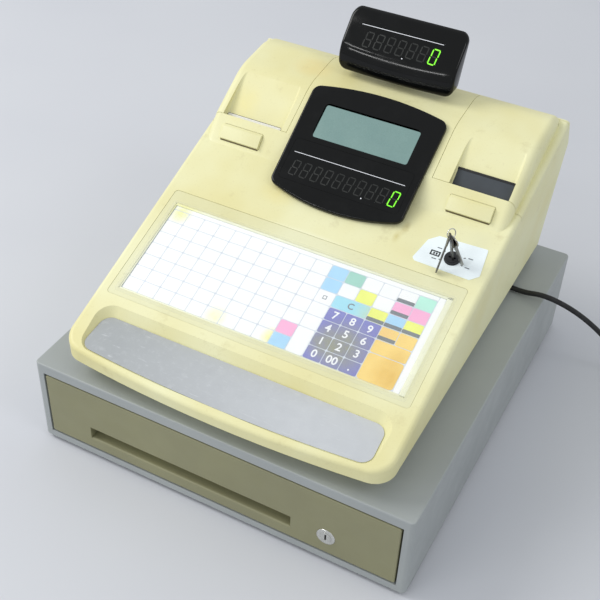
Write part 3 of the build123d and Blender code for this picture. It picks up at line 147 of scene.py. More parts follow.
def tile(width, height, thick, corner, steps, merge=0.001):
    """A thin plate with round corners, centred on its plane, sizes in millimetres."""
    clear_selection()
    bpy.ops.mesh.primitive_plane_add(size=MM)
    piece = bpy.context.object
    piece.scale = (width, height, 1)
    bpy.ops.object.transform_apply(location=False, rotation=False, scale=True)
    opened(piece)
    if corner > 0:
        bpy.ops.mesh.bevel(offset_type="OFFSET", offset=corner * MM, segments=steps, affect="VERTICES")
        bpy.ops.mesh.select_all(action="SELECT")
        bpy.ops.mesh.remove_doubles(threshold=merge * MM)
    bpy.ops.mesh.extrude_region_move(TRANSFORM_OT_translate={"value": (0, 0, thick * MM)})
    return closed(piece)


def shift(x, y, z=0.0):
    return Matrix.Translation(Vector((x, y, z)) * MM)


def turned(stations, sides):
    """A turned piece on the Z axis from (height, radius) stations, in millimetres."""
    clear_selection()
    height, radius = stations[0]
    bpy.ops.mesh.primitive_circle_add(vertices=sides, radius=radius * MM, fill_type="NGON",
                                      location=(0, 0, 0))
    piece = bpy.context.object
    opened(piece)
    bpy.ops.transform.translate(value=(0, 0, height * MM))
    for new_height, new_radius in stations[1:]:
        rise, growth = (new_height - height) * MM, new_radius / radius
        bpy.ops.mesh.extrude_region_move(TRANSFORM_OT_translate={"value": (0, 0, rise)})
        bpy.ops.transform.resize(value=(growth, growth, 1))
        height, radius = new_height, new_radius
    return closed(piece)


def smoothed(piece, angle):
    only(piece)
    bpy.ops.object.shade_smooth_by_angle(angle=math.radians(angle))
    return piece


def bevelled(piece, width, segments, angle=30):
    """Rounds a piece's sharp edges."""
    only(piece)
    rounding = piece.modifiers.new("edge rounding", "BEVEL")
    rounding.width = width * MM
    rounding.segments = segments
    rounding.limit_method = "ANGLE"
    rounding.angle_limit = math.radians(angle)
    bpy.ops.object.modifier_apply(modifier=rounding.name)
    return piece


def blank(x0, x1, y0, y1, z0, z1):
    """A box between these planes, in millimetres."""
    clear_selection()
    bpy.ops.mesh.primitive_cube_add(size=MM)
    piece = bpy.context.object
    piece.location = Vector((x0 + x1, y0 + y1, z0 + z1)) * (MM / 2)
    piece.scale = (x1 - x0, y1 - y0, z1 - z0)
    return settle(piece)


def planed(piece, point, normal):
    """Cuts away what lies beyond a plane, in millimetres, and closes the cut."""
    opened(piece)
    bpy.ops.mesh.bisect(plane_co=Vector(point) * MM, plane_no=Vector(normal), use_fill=True, clear_outer=True)
    bpy.ops.object.mode_set(mode="OBJECT")
    return piece


def drilled(piece, drill):
    """Takes the drill's shape out of a piece and removes the drill."""
    only(piece)
    hole = piece.modifiers.new("hole", "BOOLEAN")
    hole.operation = "DIFFERENCE"
    hole.object = drill
    bpy.ops.object.modifier_apply(modifier=hole.name)
    drop(drill)
    return piece


def from_to(start, end, towards):
    """A place at start whose Y runs to end and whose XY plane holds the direction towards, in millimetres."""
    start, end, towards = Vector(start), Vector(end), Vector(towards)
    axis = (end - start).normalized()
    flat = axis.cross(towards).normalized()
    turn = Matrix((axis.cross(flat), axis, flat)).transposed().to_4x4()
    return Matrix.Translation(start * MM) @ turn


def figure(text, size):
    """A printed figure as a thin mesh, centred on its plane, its size in millimetres."""
    bold, thick = 0.25, 0.05
    clear_selection()
    bpy.ops.object.text_add(location=(0, 0, 0))
    lettering = bpy.context.object.data
    lettering.body = text
    lettering.size = size * MM
    lettering.align_x = "CENTER"
    lettering.align_y = "CENTER"
    lettering.extrude = thick / 2 * MM
    lettering.offset = bold * MM
    lettering.resolution_u = 6
    bpy.ops.object.convert(target="MESH")
    piece = bpy.context.object
    opened(piece)
    bpy.ops.mesh.remove_doubles(threshold=0.001 * MM)
    return closed(piece)


# ------------------------------------------------------------------ finishes
class Coat:
    """A new material, built up in layers over one even colour."""

    def __init__(self, name, colour, roughness, metallic=0.0, constants=None):
        self.material = bpy.data.materials.new(name)
        self.material.use_nodes = True
        self.tree = self.material.node_tree
        self.shader = next(node for node in self.tree.nodes if node.type == "BSDF_PRINCIPLED")
        self.tone = colour
        even = {"Base Color": colour, "Roughness": roughness, "Metallic": metallic, **(constants or {})}
        for socket, value in even.items():
            self.feed(self.shader.inputs[socket], value)

    def feed(self, socket, value):
        """Links a socket to a pattern, or sets its even value."""
        if hasattr(value, "is_output"):
            self.tree.links.new(value, socket)
        else:
            socket.default_value = value

    def node(self, kind, **inputs):
        """A new node with these inputs, each name written with _ for a space."""
        node = self.tree.nodes.new("ShaderNode" + kind)
        for name, value in inputs.items():
            self.feed(node.inputs[name.replace("_", " ")], value)
        return node

    def place(self, stretch=(1, 1, 1), centre=(0, 0, 0)):
        """Object coordinates, moved to a centre in metres and stretched."""
        mapping = self.node("Mapping", Vector=self.node("TexCoord").outputs["Object"], Scale=stretch,
                            Location=[-c * s for c, s in zip(centre, stretch)])
        return mapping.outputs["Vector"]

    def cloud(self, scale, detail, stretch=(1, 1, 1), rough=0.55):
        noise = self.node("TexNoise", Vector=self.place(stretch), Scale=scale, Detail=detail, Roughness=rough)
        return noise.outputs[0]

    def cells(self, scale):
        """The red and the green of a coloured cell pattern."""
        cell = self.node("TexVoronoi", Vector=self.place(), Scale=scale).outputs["Color"]
        return self.node("SeparateColor", Color=cell).outputs[:2]

    def spot(self, centre, reach):
        """1 at a point of the object and 0 at its reach, both in metres."""
        gradient = self.node("TexGradient", Vector=self.place([1 / r for r in reach], centre))
        gradient.gradient_type = "SPHERICAL"
        return gradient.outputs[1]

    def span(self, pattern, low, high, start=0.3, end=0.7):
        """Carries a pattern's start and end to low and high."""
        node = self.node("MapRange", Value=pattern, From_Min=start, From_Max=end, To_Min=low, To_Max=high)
        return node.outputs["Result"]

    def mix(self, factor, colour):
        """Lays a colour over the tone so far."""
        node = self.node("Mix")
        node.data_type = "RGBA"
        for index, value in ((0, factor), (6, self.tone), (7, colour)):
            self.feed(node.inputs[index], value)
        self.tone = node.outputs[2]
        self.feed(self.shader.inputs["Base Color"], self.tone)

    def layer(self, pattern, colour, low=0, high=1, start=0.3, end=0.7):
        """Lays a colour over the tone by a pattern, whose start and end give low and high."""
        self.mix(self.span(pattern, low, high, start, end), colour)

    def stain(self, middle, reach, colour, strength, fade, grain, least):
        """A patch of colour round a point, both in metres, broken by grain down to its least."""
        patch = self.node("Math")
        patch.operation = "MULTIPLY"
        self.feed(patch.inputs[0], self.span(self.spot(middle, reach), 0, strength, 0, fade))
        self.feed(patch.inputs[1], self.span(self.cloud(grain, 6, rough=0.7), least, 1.0, 0.3, 0.6))
        self.mix(patch.outputs[0], colour)

    def rough(self, pattern, low, high):
        self.feed(self.shader.inputs["Roughness"], self.span(pattern, low, high))

    def relief(self, pattern, depth, strength):
        """Bumps the surface by a pattern, depth in millimetres."""
        bump = self.node("Bump", Strength=strength, Distance=depth * MM, Height=pattern)
        self.feed(self.shader.inputs["Normal"], bump.outputs["Normal"])


def aged_plastic(name, fresh, aged, grime, tint_patches=()):
    """Cream moulding that has yellowed in broad clouds, with rubbed-in dirt and a fine mould grain.

    A tint patch is (middle in metres, reach in millimetres, colour, strength)."""
    coat = Coat(name, fresh, 0.5)
    coat.layer(coat.cloud(7, 3), aged, 0, 1, 0.35, 0.68)
    coat.layer(coat.cloud(38, 8, rough=0.7), grime, 0, 0.32, 0.6, 0.78)
    coat.layer(coat.cloud(420, 2), grime, 0, 0.10, 0.62, 0.72)
    for middle, reach, colour, strength in tint_patches:
        coat.stain(middle, [r * MM for r in reach], colour, strength, 0.8, 60, 0.4)
    coat.rough(coat.cloud(26, 4), 0.4, 0.58)
    coat.relief(coat.cloud(1500, 2), 0.03, 0.35)
    return coat.material


def sprayed_steel(name, colour, shade):
    """Satin enamel over sheet steel: faint orange peel, handling marks and a few rubbed spots."""
    coat = Coat(name, colour, 0.4)
    coat.layer(coat.cloud(6, 4), shade)
    coat.layer(coat.cloud(60, 7, (1, 0.35, 1), 0.7), rgb(188, 193, 194), 0, 0.35, 0.66, 0.8)
    coat.rough(coat.cloud(30, 5), 0.34, 0.5)
    coat.relief(coat.cloud(650, 3), 0.05, 0.3)
    return coat.material


def moulded_fascia(name, colour, shade):
    """Olive moulding with a fine leathery grain and paler rubbed places."""
    coat = Coat(name, colour, 0.5)
    coat.layer(coat.cloud(9, 4), shade)
    coat.layer(coat.cloud(30, 8, (0.4, 1, 1), 0.7), rgb(158, 157, 128), 0, 0.25, 0.62, 0.8)
    coat.rough(coat.cloud(40, 4), 0.44, 0.6)
    coat.relief(coat.cloud(1100, 3), 0.06, 0.5)
    return coat.material


def galvanised(name, colour):
    """Zinc-plated sheet with soft crystal patches."""
    coat = Coat(name, colour, 0.36, 0.85)
    crystal, facet = coat.cells(120)
    coat.layer(crystal, rgb(206, 208, 204), 0, 1, 0, 1)
    coat.layer(coat.cloud(14, 5), rgb(140, 142, 138), 0, 0.5)
    coat.rough(facet, 0.28, 0.46)
    coat.relief(coat.cloud(500, 3), 0.02, 0.3)
    return coat.material


def worn_tray_steel(name, colour):
    """Dull steel of the change tray: wiping marks, coin scuffs, small nicks and a painted reflection that
    makes it paler towards its right end.
    """
    painted_reflection_middle, painted_reflection_reach = (0.17, -0.205, 0.158), (0.3, 0.1, 0.1)
    coat = Coat(name, colour, 0.5, 0.45)
    coat.layer(coat.cloud(13, 7, (0.45, 1, 1), 0.7), rgb(160, 163, 166), 0, 0.55)
    coat.layer(coat.cloud(140, 6, rough=0.75), rgb(200, 203, 206), 0, 0.5, 0.52, 0.75)
    coat.layer(coat.cloud(420, 4, (0.2, 1, 1)), rgb(214, 217, 220), 0, 0.5, 0.62, 0.74)
    # painted reflection: a paler patch spread over the right end of the tray
    coat.layer(coat.spot(painted_reflection_middle, painted_reflection_reach), rgb(216, 219, 223), 0, 0.75, 0, 0.7)
    coat.rough(coat.cloud(90, 7), 0.44, 0.6)
    coat.relief(coat.cloud(420, 4, (0.15, 1, 1)), 0.03, 0.45)
    return coat.material


def polished_black(name, colour, roughness):
    """Glossy black moulding with faint wiping haze."""
    coat = Coat(name, colour, roughness, constants={"Specular IOR Level": 0.24})
    hazy = (*(c * 1.6 + 0.004 for c in colour[:3]), 1.0)
    coat.layer(coat.cloud(35, 6, rough=0.65), hazy, 0, 0.6, 0.5, 0.8)
    coat.rough(coat.cloud(60, 5), roughness - 0.04, roughness + 0.06)
    coat.relief(coat.cloud(900, 2), 0.004, 0.3)
    return coat.material


def textured_black(name, colour, shade, low=0.45, high=0.62):
    """Dark moulding with a fine texture."""
    coat = Coat(name, colour, 0.5)
    coat.layer(coat.cloud(40, 5), shade)
    coat.rough(coat.cloud(80, 4), low, high)
    coat.relief(coat.cloud(1300, 3), 0.05, 0.5)
    return coat.material


def rubber(name):
    """Black rubber with dust rubbed into it."""
    coat = Coat(name, rgb(22, 22, 24), 0.6)
    coat.layer(coat.cloud(90, 6, rough=0.7), rgb(60, 60, 60), 0, 0.45, 0.5, 0.8)
    coat.rough(coat.cloud(120, 4), 0.5, 0.7)
    coat.relief(coat.cloud(1600, 2), 0.03, 0.4)
    return coat.material


def plated(name, colour, low, high, scratch=(1, 1, 1)):
    """Bright plated metal with hairline scratches."""
    coat = Coat(name, colour, low, 1.0)
    coat.layer(coat.cloud(140, 6, scratch, 0.7), rgb(150, 148, 142), 0, 0.55, 0.45, 0.75)
    coat.rough(coat.cloud(220, 5, scratch), low, high)
    coat.relief(coat.cloud(900, 3, scratch), 0.01, 0.3)
    return coat.material


def see_through(name, colour, alpha, roughness):
    """Clear moulding with wiping haze on its face."""
    coat = Coat(name, colour, roughness, constants={"Alpha": alpha, "IOR": 1.49})
    hazy = (*(min(1, c * 1.5 + 0.01) for c in colour[:3]), 1)
    coat.layer(coat.cloud(30, 6, rough=0.7), hazy, 0, 0.4, 0.45, 0.75)
    coat.rough(coat.cloud(45, 5), roughness, roughness + 0.12)
    return coat.material


def display_glass(name, colour, shade):
    """Unlit liquid crystal: grey green with its dots just showing."""
    coat = Coat(name, colour, 0.3)
    coat.layer(coat.cloud(16, 3), shade)
    coat.layer(coat.cloud(620, 1), rgb(104, 128, 122), 0, 0.2)
    coat.rough(coat.cloud(90, 3), 0.22, 0.36)
    return coat.material


def paper_stock(name, colour, fibres=rgb(214, 211, 200)):
    """Matt paper with its fibres along X."""
    coat = Coat(name, colour, 0.85)
    fibre = coat.cloud(500, 5, (1, 3, 1))
    coat.layer(fibre, fibres, 0, 0.4)
    coat.rough(fibre, 0.8, 0.92)
    coat.relief(fibre, 0.03, 0.3)
    return coat.material


def lacquered_board(name):
    """Green circuit board with its tracks showing through the lacquer."""
    coat = Coat(name, rgb(26, 84, 44), 0.35)
    coat.layer(coat.cloud(160, 2, (1, 0.2, 1)), rgb(58, 128, 74), 0, 0.8, 0.48, 0.53)
    coat.rough(coat.cloud(70, 4), 0.28, 0.45)
    return coat.material


def glowing(name, colour, strength):
    """A lit tube segment, a little brighter in its middle clouds."""
    coat = Coat(name, colour, 0.4, constants={"Emission Strength": strength})
    coat.layer(coat.cloud(300, 2), rgb(150, 250, 60))
    coat.feed(coat.shader.inputs["Emission Color"], coat.tone)
    return coat.material


def stained_print(name, ink, stains=()):
    """Printing ink. A stain on the deck is (x, slope distance, reach, colour, strength) in millimetres."""
    coat = Coat(name, ink, 0.42)
    paler = (*(min(1.0, c * 1.06 + 0.01) for c in ink[:3]), 1.0)
    coat.layer(coat.cloud(70, 5), paler)
    for x, along, reach, colour, strength in stains:
        coat.stain(on_deck(x, along, -2), [reach * MM] * 3, colour, strength, 0.75, 90, 0.55)
    coat.rough(coat.cloud(80, 4), 0.36, 0.5)
    coat.relief(coat.cloud(1200, 2), 0.01, 0.3)
    return coat.material


# ------------------------------------------------------------------ what a user may change
class RegisterSizes(bpy.types.PropertyGroup):
    """Sizes of the small parts."""
    key_gap: FloatProperty(name="Key gap", description="Line left between two printed keys",
                           default=0.8 * MM, unit="LENGTH")
    key_corner: FloatProperty(name="Key corner", description="Corner radius of a printed key",
                              default=0.9 * MM, unit="LENGTH")
    numeral_height: FloatProperty(name="Numeral size", description="Size of the printed numerals",
                                  default=12.0 * MM, unit="LENGTH")
    digit_height: FloatProperty(name="Readout digit height", default=18.4 * MM, unit="LENGTH",
                                description="Height of a digit on the sloping display")
    digit_pitch: FloatProperty(name="Readout digit pitch", description="Distance from one digit to the next",
                               default=12.9 * MM, unit="LENGTH")
    digit_slant: FloatProperty(name="Digit slant", description="Lean of the digits",
                               default=math.radians(7), subtype="ANGLE")
    stroke: FloatProperty(name="Segment stroke", description="Width of one digit segment",
                          default=1.25 * MM, unit="LENGTH")
    operator_digits: IntProperty(name="Operator digits", description="Digits on the sloping display",
                                 default=10)
    customer_digits: IntProperty(name="Customer digits", description="Digits on the turning display",
                                 default=7)
    cord_width: FloatProperty(name="Cord width", description="Thickness of the mains cord",
                              default=6.0 * MM, unit="LENGTH")
    cord_length: FloatProperty(name="Cord length", description="Length of the mains cord",
                               default=1.51, unit="LENGTH")
    floor_size: FloatProperty(name="Floor size", description="Side of the studio floor",
                              default=14.0, unit="LENGTH")


class RegisterColours(bpy.types.PropertyGroup):
    """Colours of the visible finishes."""
    cream: FloatVectorProperty(name="Cream case", description="Fresh colour of the upper case",
                               subtype="COLOR", size=4, min=0, max=1, default=rgb(236, 234, 190))
    cream_aged: FloatVectorProperty(name="Yellowed case", description="Colour of the yellowed clouds",
                                    subtype="COLOR", size=4, min=0, max=1, default=rgb(226, 218, 158))
    enamel: FloatVectorProperty(name="Drawer enamel", description="Grey of the cabinet", subtype="COLOR",
                                size=4, min=0, max=1, default=rgb(168, 173, 172))
    olive: FloatVectorProperty(name="Drawer front", description="Olive of the drawer front", subtype="COLOR",
                               size=4, min=0, max=1, default=rgb(146, 144, 110))
    lit: FloatVectorProperty(name="Lit segments", description="Colour of a lit digit", subtype="COLOR",
                             size=4, min=0, max=1, default=rgb(104, 236, 26))
    floor: FloatVectorProperty(name="Floor", description="Colour of the studio floor", subtype="COLOR",
                               size=4, min=0, max=1, default=rgb(208, 210, 215))


def sizes():
    return bpy.context.scene.register_sizes


def colours():
    return bpy.context.scene.register_colours


# ------------------------------------------------------------------ operators
class REGISTER_OT_finishes(bpy.types.Operator):
    """Gives every part of the solid model its own finish"""
    bl_idname = "ticket_register.finishes"
    bl_label = "Case and drawer finishes"

    def execute(self, context):
        tones = colours()
        # patches of colour on the case: two darker brown ones by the lower right corner of the display pod,
        # yellowed ones further left and a paler band behind the key sheet
        tint_patches = [(on_deck(82, 189), (5, 11, 10), rgb(188, 172, 100), 0.6),
                   (on_deck(78, 176), (5, 10, 9), rgb(204, 190, 118), 0.6),
                   ((-0.098, 0.150, 0.322), (34, 26, 26), rgb(232, 206, 128), 0.8),
                   ((-0.150, 0.080, 0.285), (22, 30, 30), rgb(238, 226, 150), 0.7),
                   ((-0.060, 0.010, 0.235), (26, 20, 20), rgb(236, 222, 146), 0.6),
                   (on_deck(0, 136), (90, 12, 12), rgb(250, 250, 226), 0.7)]
        cream = aged_plastic("cream case", tuple(tones.cream), tuple(tones.cream_aged),
                             rgb(166, 148, 92), tint_patches)
        pale = aged_plastic("pale cream case", rgb(230, 229, 190), rgb(220, 215, 164), rgb(158, 148, 104))
        enamel = sprayed_steel("drawer enamel", tuple(tones.enamel), rgb(158, 163, 163))
        olive = moulded_fascia("olive drawer front", tuple(tones.olive), rgb(136, 134, 104))
        zinc = galvanised("zinc sheet", rgb(186, 188, 184))
        black = textured_black("black moulding", rgb(26, 27, 30), rgb(38, 39, 42))
        gloss = polished_black("polished black", rgb(10, 11, 11), 0.1)
        # near black: the real colour of the digit modules, and also painted shade on the strips in the
        # covers' openings
        hollow = textured_black("dark backing and painted shade", rgb(9, 9, 10), rgb(14, 14, 15))
        rubbery = rubber("black rubber")
        steel = plated("bright plating", rgb(218, 218, 214), 0.14, 0.34)
        clear = see_through("clear key cover", rgb(240, 243, 234), 0.06, 0.12)
        tray = worn_tray_steel("worn tray steel", rgb(174, 178, 180))
        glass = display_glass("grey green glass", rgb(128, 158, 152), rgb(120, 150, 146))
        paper = paper_stock("ticket paper", rgb(244, 243, 238))
        board = lacquered_board("board lacquer")
        dark_grey = textured_black("dark grey moulding", rgb(50, 56, 62), rgb(64, 70, 76))
        grid_line = stained_print("key grid line", rgb(212, 219, 230))
        plate = paper_stock("pale lock plate", rgb(244, 253, 255), rgb(228, 238, 242))
        table = {
            cream: ("upper_case", "receipt_cover", "journal_cover", "latch_button_left",
                    "latch_button_right"),
            pale: ("lower_case", "keyboard_frame"),
            enamel: ("cabinet_shell",),
            olive: ("drawer_front",),
            zinc: ("cabinet_base", "runners", "drawer_pan", "drawer_rails", "kick_spring", "latch_pawl",
                   "latch_solenoid", "receipt_chassis", "journal_chassis", "transformer"),
            black: ("money_tray", "note_clip_1", "note_clip_2", "note_clip_3", "note_clip_4", "front_rollers",
                    "rear_rollers", "journal_spool", "mode_lock_body", "mode_lock_plug", "display_pole"),
            hollow: ("digit_module", "head_digits"),
            gloss: ("display_bezel", "display_lens", "display_head", "head_window"),
            rubbery: ("cabinet_feet", "body_feet", "receipt_platen", "journal_platen", "plug", "power_cord",
                      "cord_coil", "cord_sleeve"),
            steel: ("drawer_lock_body", "drawer_lock_plug", "mode_key", "key_ring", "spare_keys"),
            clear: ("keyboard_cover",),
            tray: ("change_tray_plate",),
            glass: ("lcd_module",),
            paper: ("receipt_roll", "journal_roll", "journal_window"),
            board: ("key_board", "main_board"),
            dark_grey: ("cutter_plate",),
            grid_line: ("key_sheet",),
            plate: ("mode_plate",),
        }
        named = {name for names in table.values() for name in names}
        if named != set(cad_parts):
            raise RuntimeError(f"finishes and nodes differ: {named ^ set(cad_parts)}")
        for material, names in table.items():
            for name in names:
                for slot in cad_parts[name].material_slots:
                    slot.material = material
        return {"FINISHED"}


# The printed keys, in millimetres on the deck
KEYS_LEFT, KEYS_RIGHT, KEYS_FRONT, KEYS_BACK = -159.2, 147.4, 11.3, 120.2
KEY_COLUMNS, KEY_ROWS = 16, 7
# The plain margins of the sheet, to the right of the keys and behind them
SHEET_RIGHT, SHEET_BACK = 154.6, 125.2
MARGIN_LEFT, MARGIN_FRONT = 147.8, 120.5
# Heights of the sheet and of what is printed on it, each a little over the last so that none coincide
SHEET_TOP = -2.22
PRINT_THICK, MARK_THICK, HOLLOW_THICK = 0.12, 0.06, 0.08
LABEL_LIFT, MARK_LIFT, HOLLOW_LIFT, NUMERAL_LIFT = 0.1, 0.11, 0.12, 0.15
# The dark label strips, and how far their middles stand over the foot of their keys
LABEL_HEIGHT, LABEL_RISE = 4.2, 2.6
# The small square mark, its hollow middle and the letter of the lettered key
MARK_SIDE, HOLLOW_SIDE, LETTER_SIZE = 4.4, 2.8, 9.5


def key_middle(column, row, last_column=None, last_row=None):
    """Middle and size of a printed key, in millimetres on the deck; columns and rows count from 1."""
    pitch, rise = (KEYS_RIGHT - KEYS_LEFT) / KEY_COLUMNS, (KEYS_BACK - KEYS_FRONT) / KEY_ROWS
    left, right = KEYS_LEFT + (column - 1) * pitch, KEYS_LEFT + (last_column or column) * pitch
    high, low = KEYS_BACK - (row - 1) * rise, KEYS_BACK - (last_row or row) * rise
    return (left + right) / 2, (low + high) / 2, right - left, high - low


class REGISTER_OT_key_legends(bpy.types.Operator):
    """Lays the printed keys, numerals and label strips on the key sheet"""
    bl_idname = "ticket_register.key_legends"
    bl_label = "Printed keys"

    def execute(self, context):
        size = sizes()
        yellow, brown = rgb(240, 238, 130), rgb(152, 154, 118)
        stains = {
            "white": [(-149, 117, 14, yellow, 0.9), (-50, 19, 14, rgb(250, 250, 190), 0.8),
                      (14, 19, 13, rgb(250, 246, 130), 0.9)],
            "cyan": [(92, 80, 18, rgb(200, 225, 190), 0.7)],
            "violet": [(82, 36, 34, brown, 0.9), (62, 34, 20, brown, 0.6)],
            "orange": [(138, 24, 22, rgb(234, 188, 74), 0.9), (138, 44, 14, rgb(238, 196, 92), 0.7),
                       (116, 66, 12, rgb(246, 200, 130), 0.6)],
        }
        inks = {
            "white": rgb(250, 252, 252), "sky": rgb(168, 216, 248), "cyan": rgb(160, 222, 240),
            "teal": rgb(158, 212, 198), "mint": rgb(184, 240, 222), "pink": rgb(252, 176, 216),
            "yellow": rgb(240, 246, 118), "violet": rgb(122, 124, 196), "orange": rgb(250, 214, 118),
        }
        inks = {name: stained_print(f"{name} key print", ink, stains.get(name, ()))
                for name, ink in inks.items()}
        inks["strip"] = stained_print("dark label strip", rgb(112, 120, 128))

        plan = {(column, row): "white" for column in range(1, 12) for row in range(1, 8)}
        plan.update({(9, 7): "white", (10, 6): "pink", (10, 7): "sky", (11, 1): "sky", (11, 2): "sky",
                     (12, 1): "teal", (13, 1): "white", (14, 1): "white", (15, 1): "white", (16, 1): "mint",
                     (12, 2): "white", (13, 2): "yellow", (14, 2): "white", (15, 2): "pink", (16, 2): "pink",
                     (14, 3): "yellow", (15, 3): "sky", (16, 3): "yellow", (15, 4): "orange",
                     (16, 4): "orange"})
        del plan[(11, 6)], plan[(11, 7)]
        keys = [(ink, key_middle(*cell)) for cell, ink in plan.items()]
        keys += [("violet", key_middle(column, row)) for row in range(4, 8) for column in (12, 13, 14)]
        keys += [("cyan", key_middle(12, 3, 13, 3)), ("white", key_middle(11, 6, 11, 7)),
                 ("orange", key_middle(15, 5, 16, 5)), ("orange", key_middle(15, 6, 16, 7))]

        gap_painted_shade, blank_side = size.key_gap / MM, 10
        master = tile(blank_side, blank_side, PRINT_THICK, size.key_corner / MM, 2)
        laid = []

        def lay(ink, x, along, width, height, lift=0.0):
            stretch = Matrix.Diagonal((width / blank_side, height / blank_side, 1, 1))
            place = DECK @ shift(x, along, SHEET_TOP + lift) @ stretch
            laid.append(painted(twin(master, place), inks[ink]))

        for ink, (x, along, width, height) in keys:
            lay(ink, x, along, width - gap_painted_shade, height - gap_painted_shade)
        for column, row in ((15, 1), (15, 2), (14, 3), (15, 3), (16, 3), (15, 4)):
            x, along, width, height = key_middle(column, row)
            lay("strip", x, along - height / 2 + LABEL_RISE, width - gap_painted_shade, LABEL_HEIGHT, LABEL_LIFT)
        for x0, x1, low, high in ((MARGIN_LEFT, SHEET_RIGHT, KEYS_FRONT, SHEET_BACK),
                                  (KEYS_LEFT, KEYS_RIGHT, MARGIN_FRONT, SHEET_BACK)):
            lay("white", (x0 + x1) / 2, (low + high) / 2, x1 - x0, high - low)
        drop(master)
        piece = joined(laid, "key_print")
        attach(piece, "base")

        paint = stained_print("white numeral paint", rgb(246, 247, 252))
        grey = stained_print("grey key mark", rgb(122, 130, 140))
        numerals = []
        layout = {(12, 4): "7", (13, 4): "8", (14, 4): "9", (12, 5): "4", (13, 5): "5", (14, 5): "6",
                  (12, 6): "1", (13, 6): "2", (14, 6): "3", (12, 7): "0", (13, 7): "00", (14, 7): "."}
        for cell, text in layout.items():
            x, along, _, _ = key_middle(*cell)
            place = DECK @ shift(x, along, SHEET_TOP + NUMERAL_LIFT)
            # the 9 is the 6 turned round
            upside = Matrix.Rotation(math.pi if text == "9" else 0, 4, "Z")
            digit = figure("6" if text == "9" else text, size.numeral_height / MM)
            numerals.append(painted(settle(digit, place @ upside), paint))
        x, along, _, _ = key_middle(12, 3, 13, 3)
        place = DECK @ shift(x, along, SHEET_TOP + NUMERAL_LIFT)
        numerals.append(painted(settle(figure("C", LETTER_SIZE), place), grey))
        x, along, _, _ = key_middle(11, 3)
        for side, thick, lift, ink in ((MARK_SIDE, MARK_THICK, MARK_LIFT, grey),
                                       (HOLLOW_SIDE, HOLLOW_THICK, HOLLOW_LIFT, inks["white"])):
            square = tile(side, side, thick, 0.2, 1)
            numerals.append(painted(settle(square, DECK @ shift(x, along, SHEET_TOP + lift)), ink))
        piece = joined(numerals, "key_numerals")
        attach(piece, "base")
        return {"FINISHED"}


def segment(length, stroke):
    """One pointed bar of a digit, lying along X."""
    thick, point = 0.1, 0.499
    return tile(length, stroke, thick, stroke * point, 1, merge=0.01)


def digit_row(name, body, plane, middles, foot, lift, height, width, stroke, dark, lit):
    """A row of seven-segment digits, all unlit but the last, which shows 0."""
    joint = 0.5
    half = height / 2 - stroke / 2
    reach = width / 2 - stroke / 2
    across = segment(2 * reach - joint, stroke)
    upright = settle(segment(half - joint, stroke), Matrix.Rotation(math.pi / 2, 4, "Z"))
    lean = Matrix.Identity(4)
    lean[0][1] = math.tan(sizes().digit_slant)
    centre_bar = (across, 0, 0)
    places = [(across, 0, half), (across, 0, -half), centre_bar, (upright, -reach, half / 2),
              (upright, reach, half / 2), (upright, -reach, -half / 2), (upright, reach, -half / 2)]
    unlit, burning = [], []
    for x in middles:
        for bar, dx, dy in places:
            place = plane @ shift(x, foot + height / 2, lift) @ lean @ shift(dx, dy)
            glows = x == middles[-1] and (bar, dx, dy) != centre_bar
            copy = painted(twin(bar, place), lit if glows else dark)
            (burning if glows else unlit).append(copy)
    drop(across, upright)
    for state, bars in (("dark", unlit), ("lit", burning)):
        piece = joined(bars, f"{name}_digits_{state}")
        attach(piece, body)


RULE_HEIGHT, RULE_THICK, POINT_SIDE = 0.6, 0.05, 1.3


class REGISTER_OT_readouts(bpy.types.Operator):
    """Puts the digits, rules and points on both displays"""
    bl_idname = "ticket_register.readouts"
    bl_label = "Display digits"

    def execute(self, context):
        size = sizes()
        dark = textured_black("unlit segment", rgb(26, 28, 26), rgb(34, 36, 33), 0.2, 0.3)
        lit = glowing("lit segment", tuple(colours().lit), 0.35)
        white = stained_print("white rule", rgb(232, 234, 238))
        # the digits of each display: how many, the last one's middle, their pitch, foot, lift over
        # the face, height, width and stroke
        pod_row = (size.operator_digits, 60.0, size.digit_pitch / MM, 13.4, 4.97, size.digit_height / MM,
                   8.6, size.stroke / MM)
        head_row = (size.customer_digits, 38.9, 12.87, 7.9, 0.02, 18.2, 9.0, 1.35)
        # the length and the middle of the white rule over them, and the middle of the point
        pod_rule = (130, (0, 40.6, 4.97), (26.7, 12.2, 4.97))
        head_rule = (96, (-3.3, 32.4, 0.03), (5.5, 6.4, 0.03))
        for name, body, plane, row, rule in (("pod", "base", POD, pod_row, pod_rule),
                                             ("head", "customer_head", HEAD_FACE, head_row, head_rule)):
            count, last, pitch, *digit = row
            middles = [last - pitch * (count - 1 - index) for index in range(count)]
            digit_row(name, body, plane, middles, *digit, dark, lit)
            length, rule_at, point_at = rule
            line = settle(tile(length, RULE_HEIGHT, RULE_THICK, 0.2, 1), plane @ shift(*rule_at))
            point = settle(tile(POINT_SIDE, POINT_SIDE, RULE_THICK, 0.4, 2), plane @ shift(*point_at))
            piece = painted(joined([line, point], f"{name}_rule"), white)
            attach(piece, body)
        return {"FINISHED"}


# What lies in the openings of the pod and the covers, in millimetres: width, height and thickness,
# then the middle of the lower face
GLASS_SIZE, GLASS_AT = (111, 40.6, 0.4), (1.2, 83.5, 4.75)
GLASS_CORNER, GLASS_EDGE = 2.6, 0.15
CUTTER_SIZE, CUTTER_AT = (64.0, 24.6, 2.4), (136.4, -49.2, -1.3)
# painted shade: a black strip along the top of the cutter plate stands for its shadowed paper slot
CUTTER_SHADE_SIZE, CUTTER_SHADE_AT = (64.0, 2.6, 0.4), (136.4, -38.0, 1.0)
PAPER_SIZE, PAPER_AT = (66.6, 5.2, 0.3), (-131.3, -56.6, 1.2)
PAPER_SHADES = (((2.4, 4.2, 0.3), (-165.8, -56.8, 1.2)), ((66.6, 0.5, 0.3), (-131.3, -53.8, 1.2)))


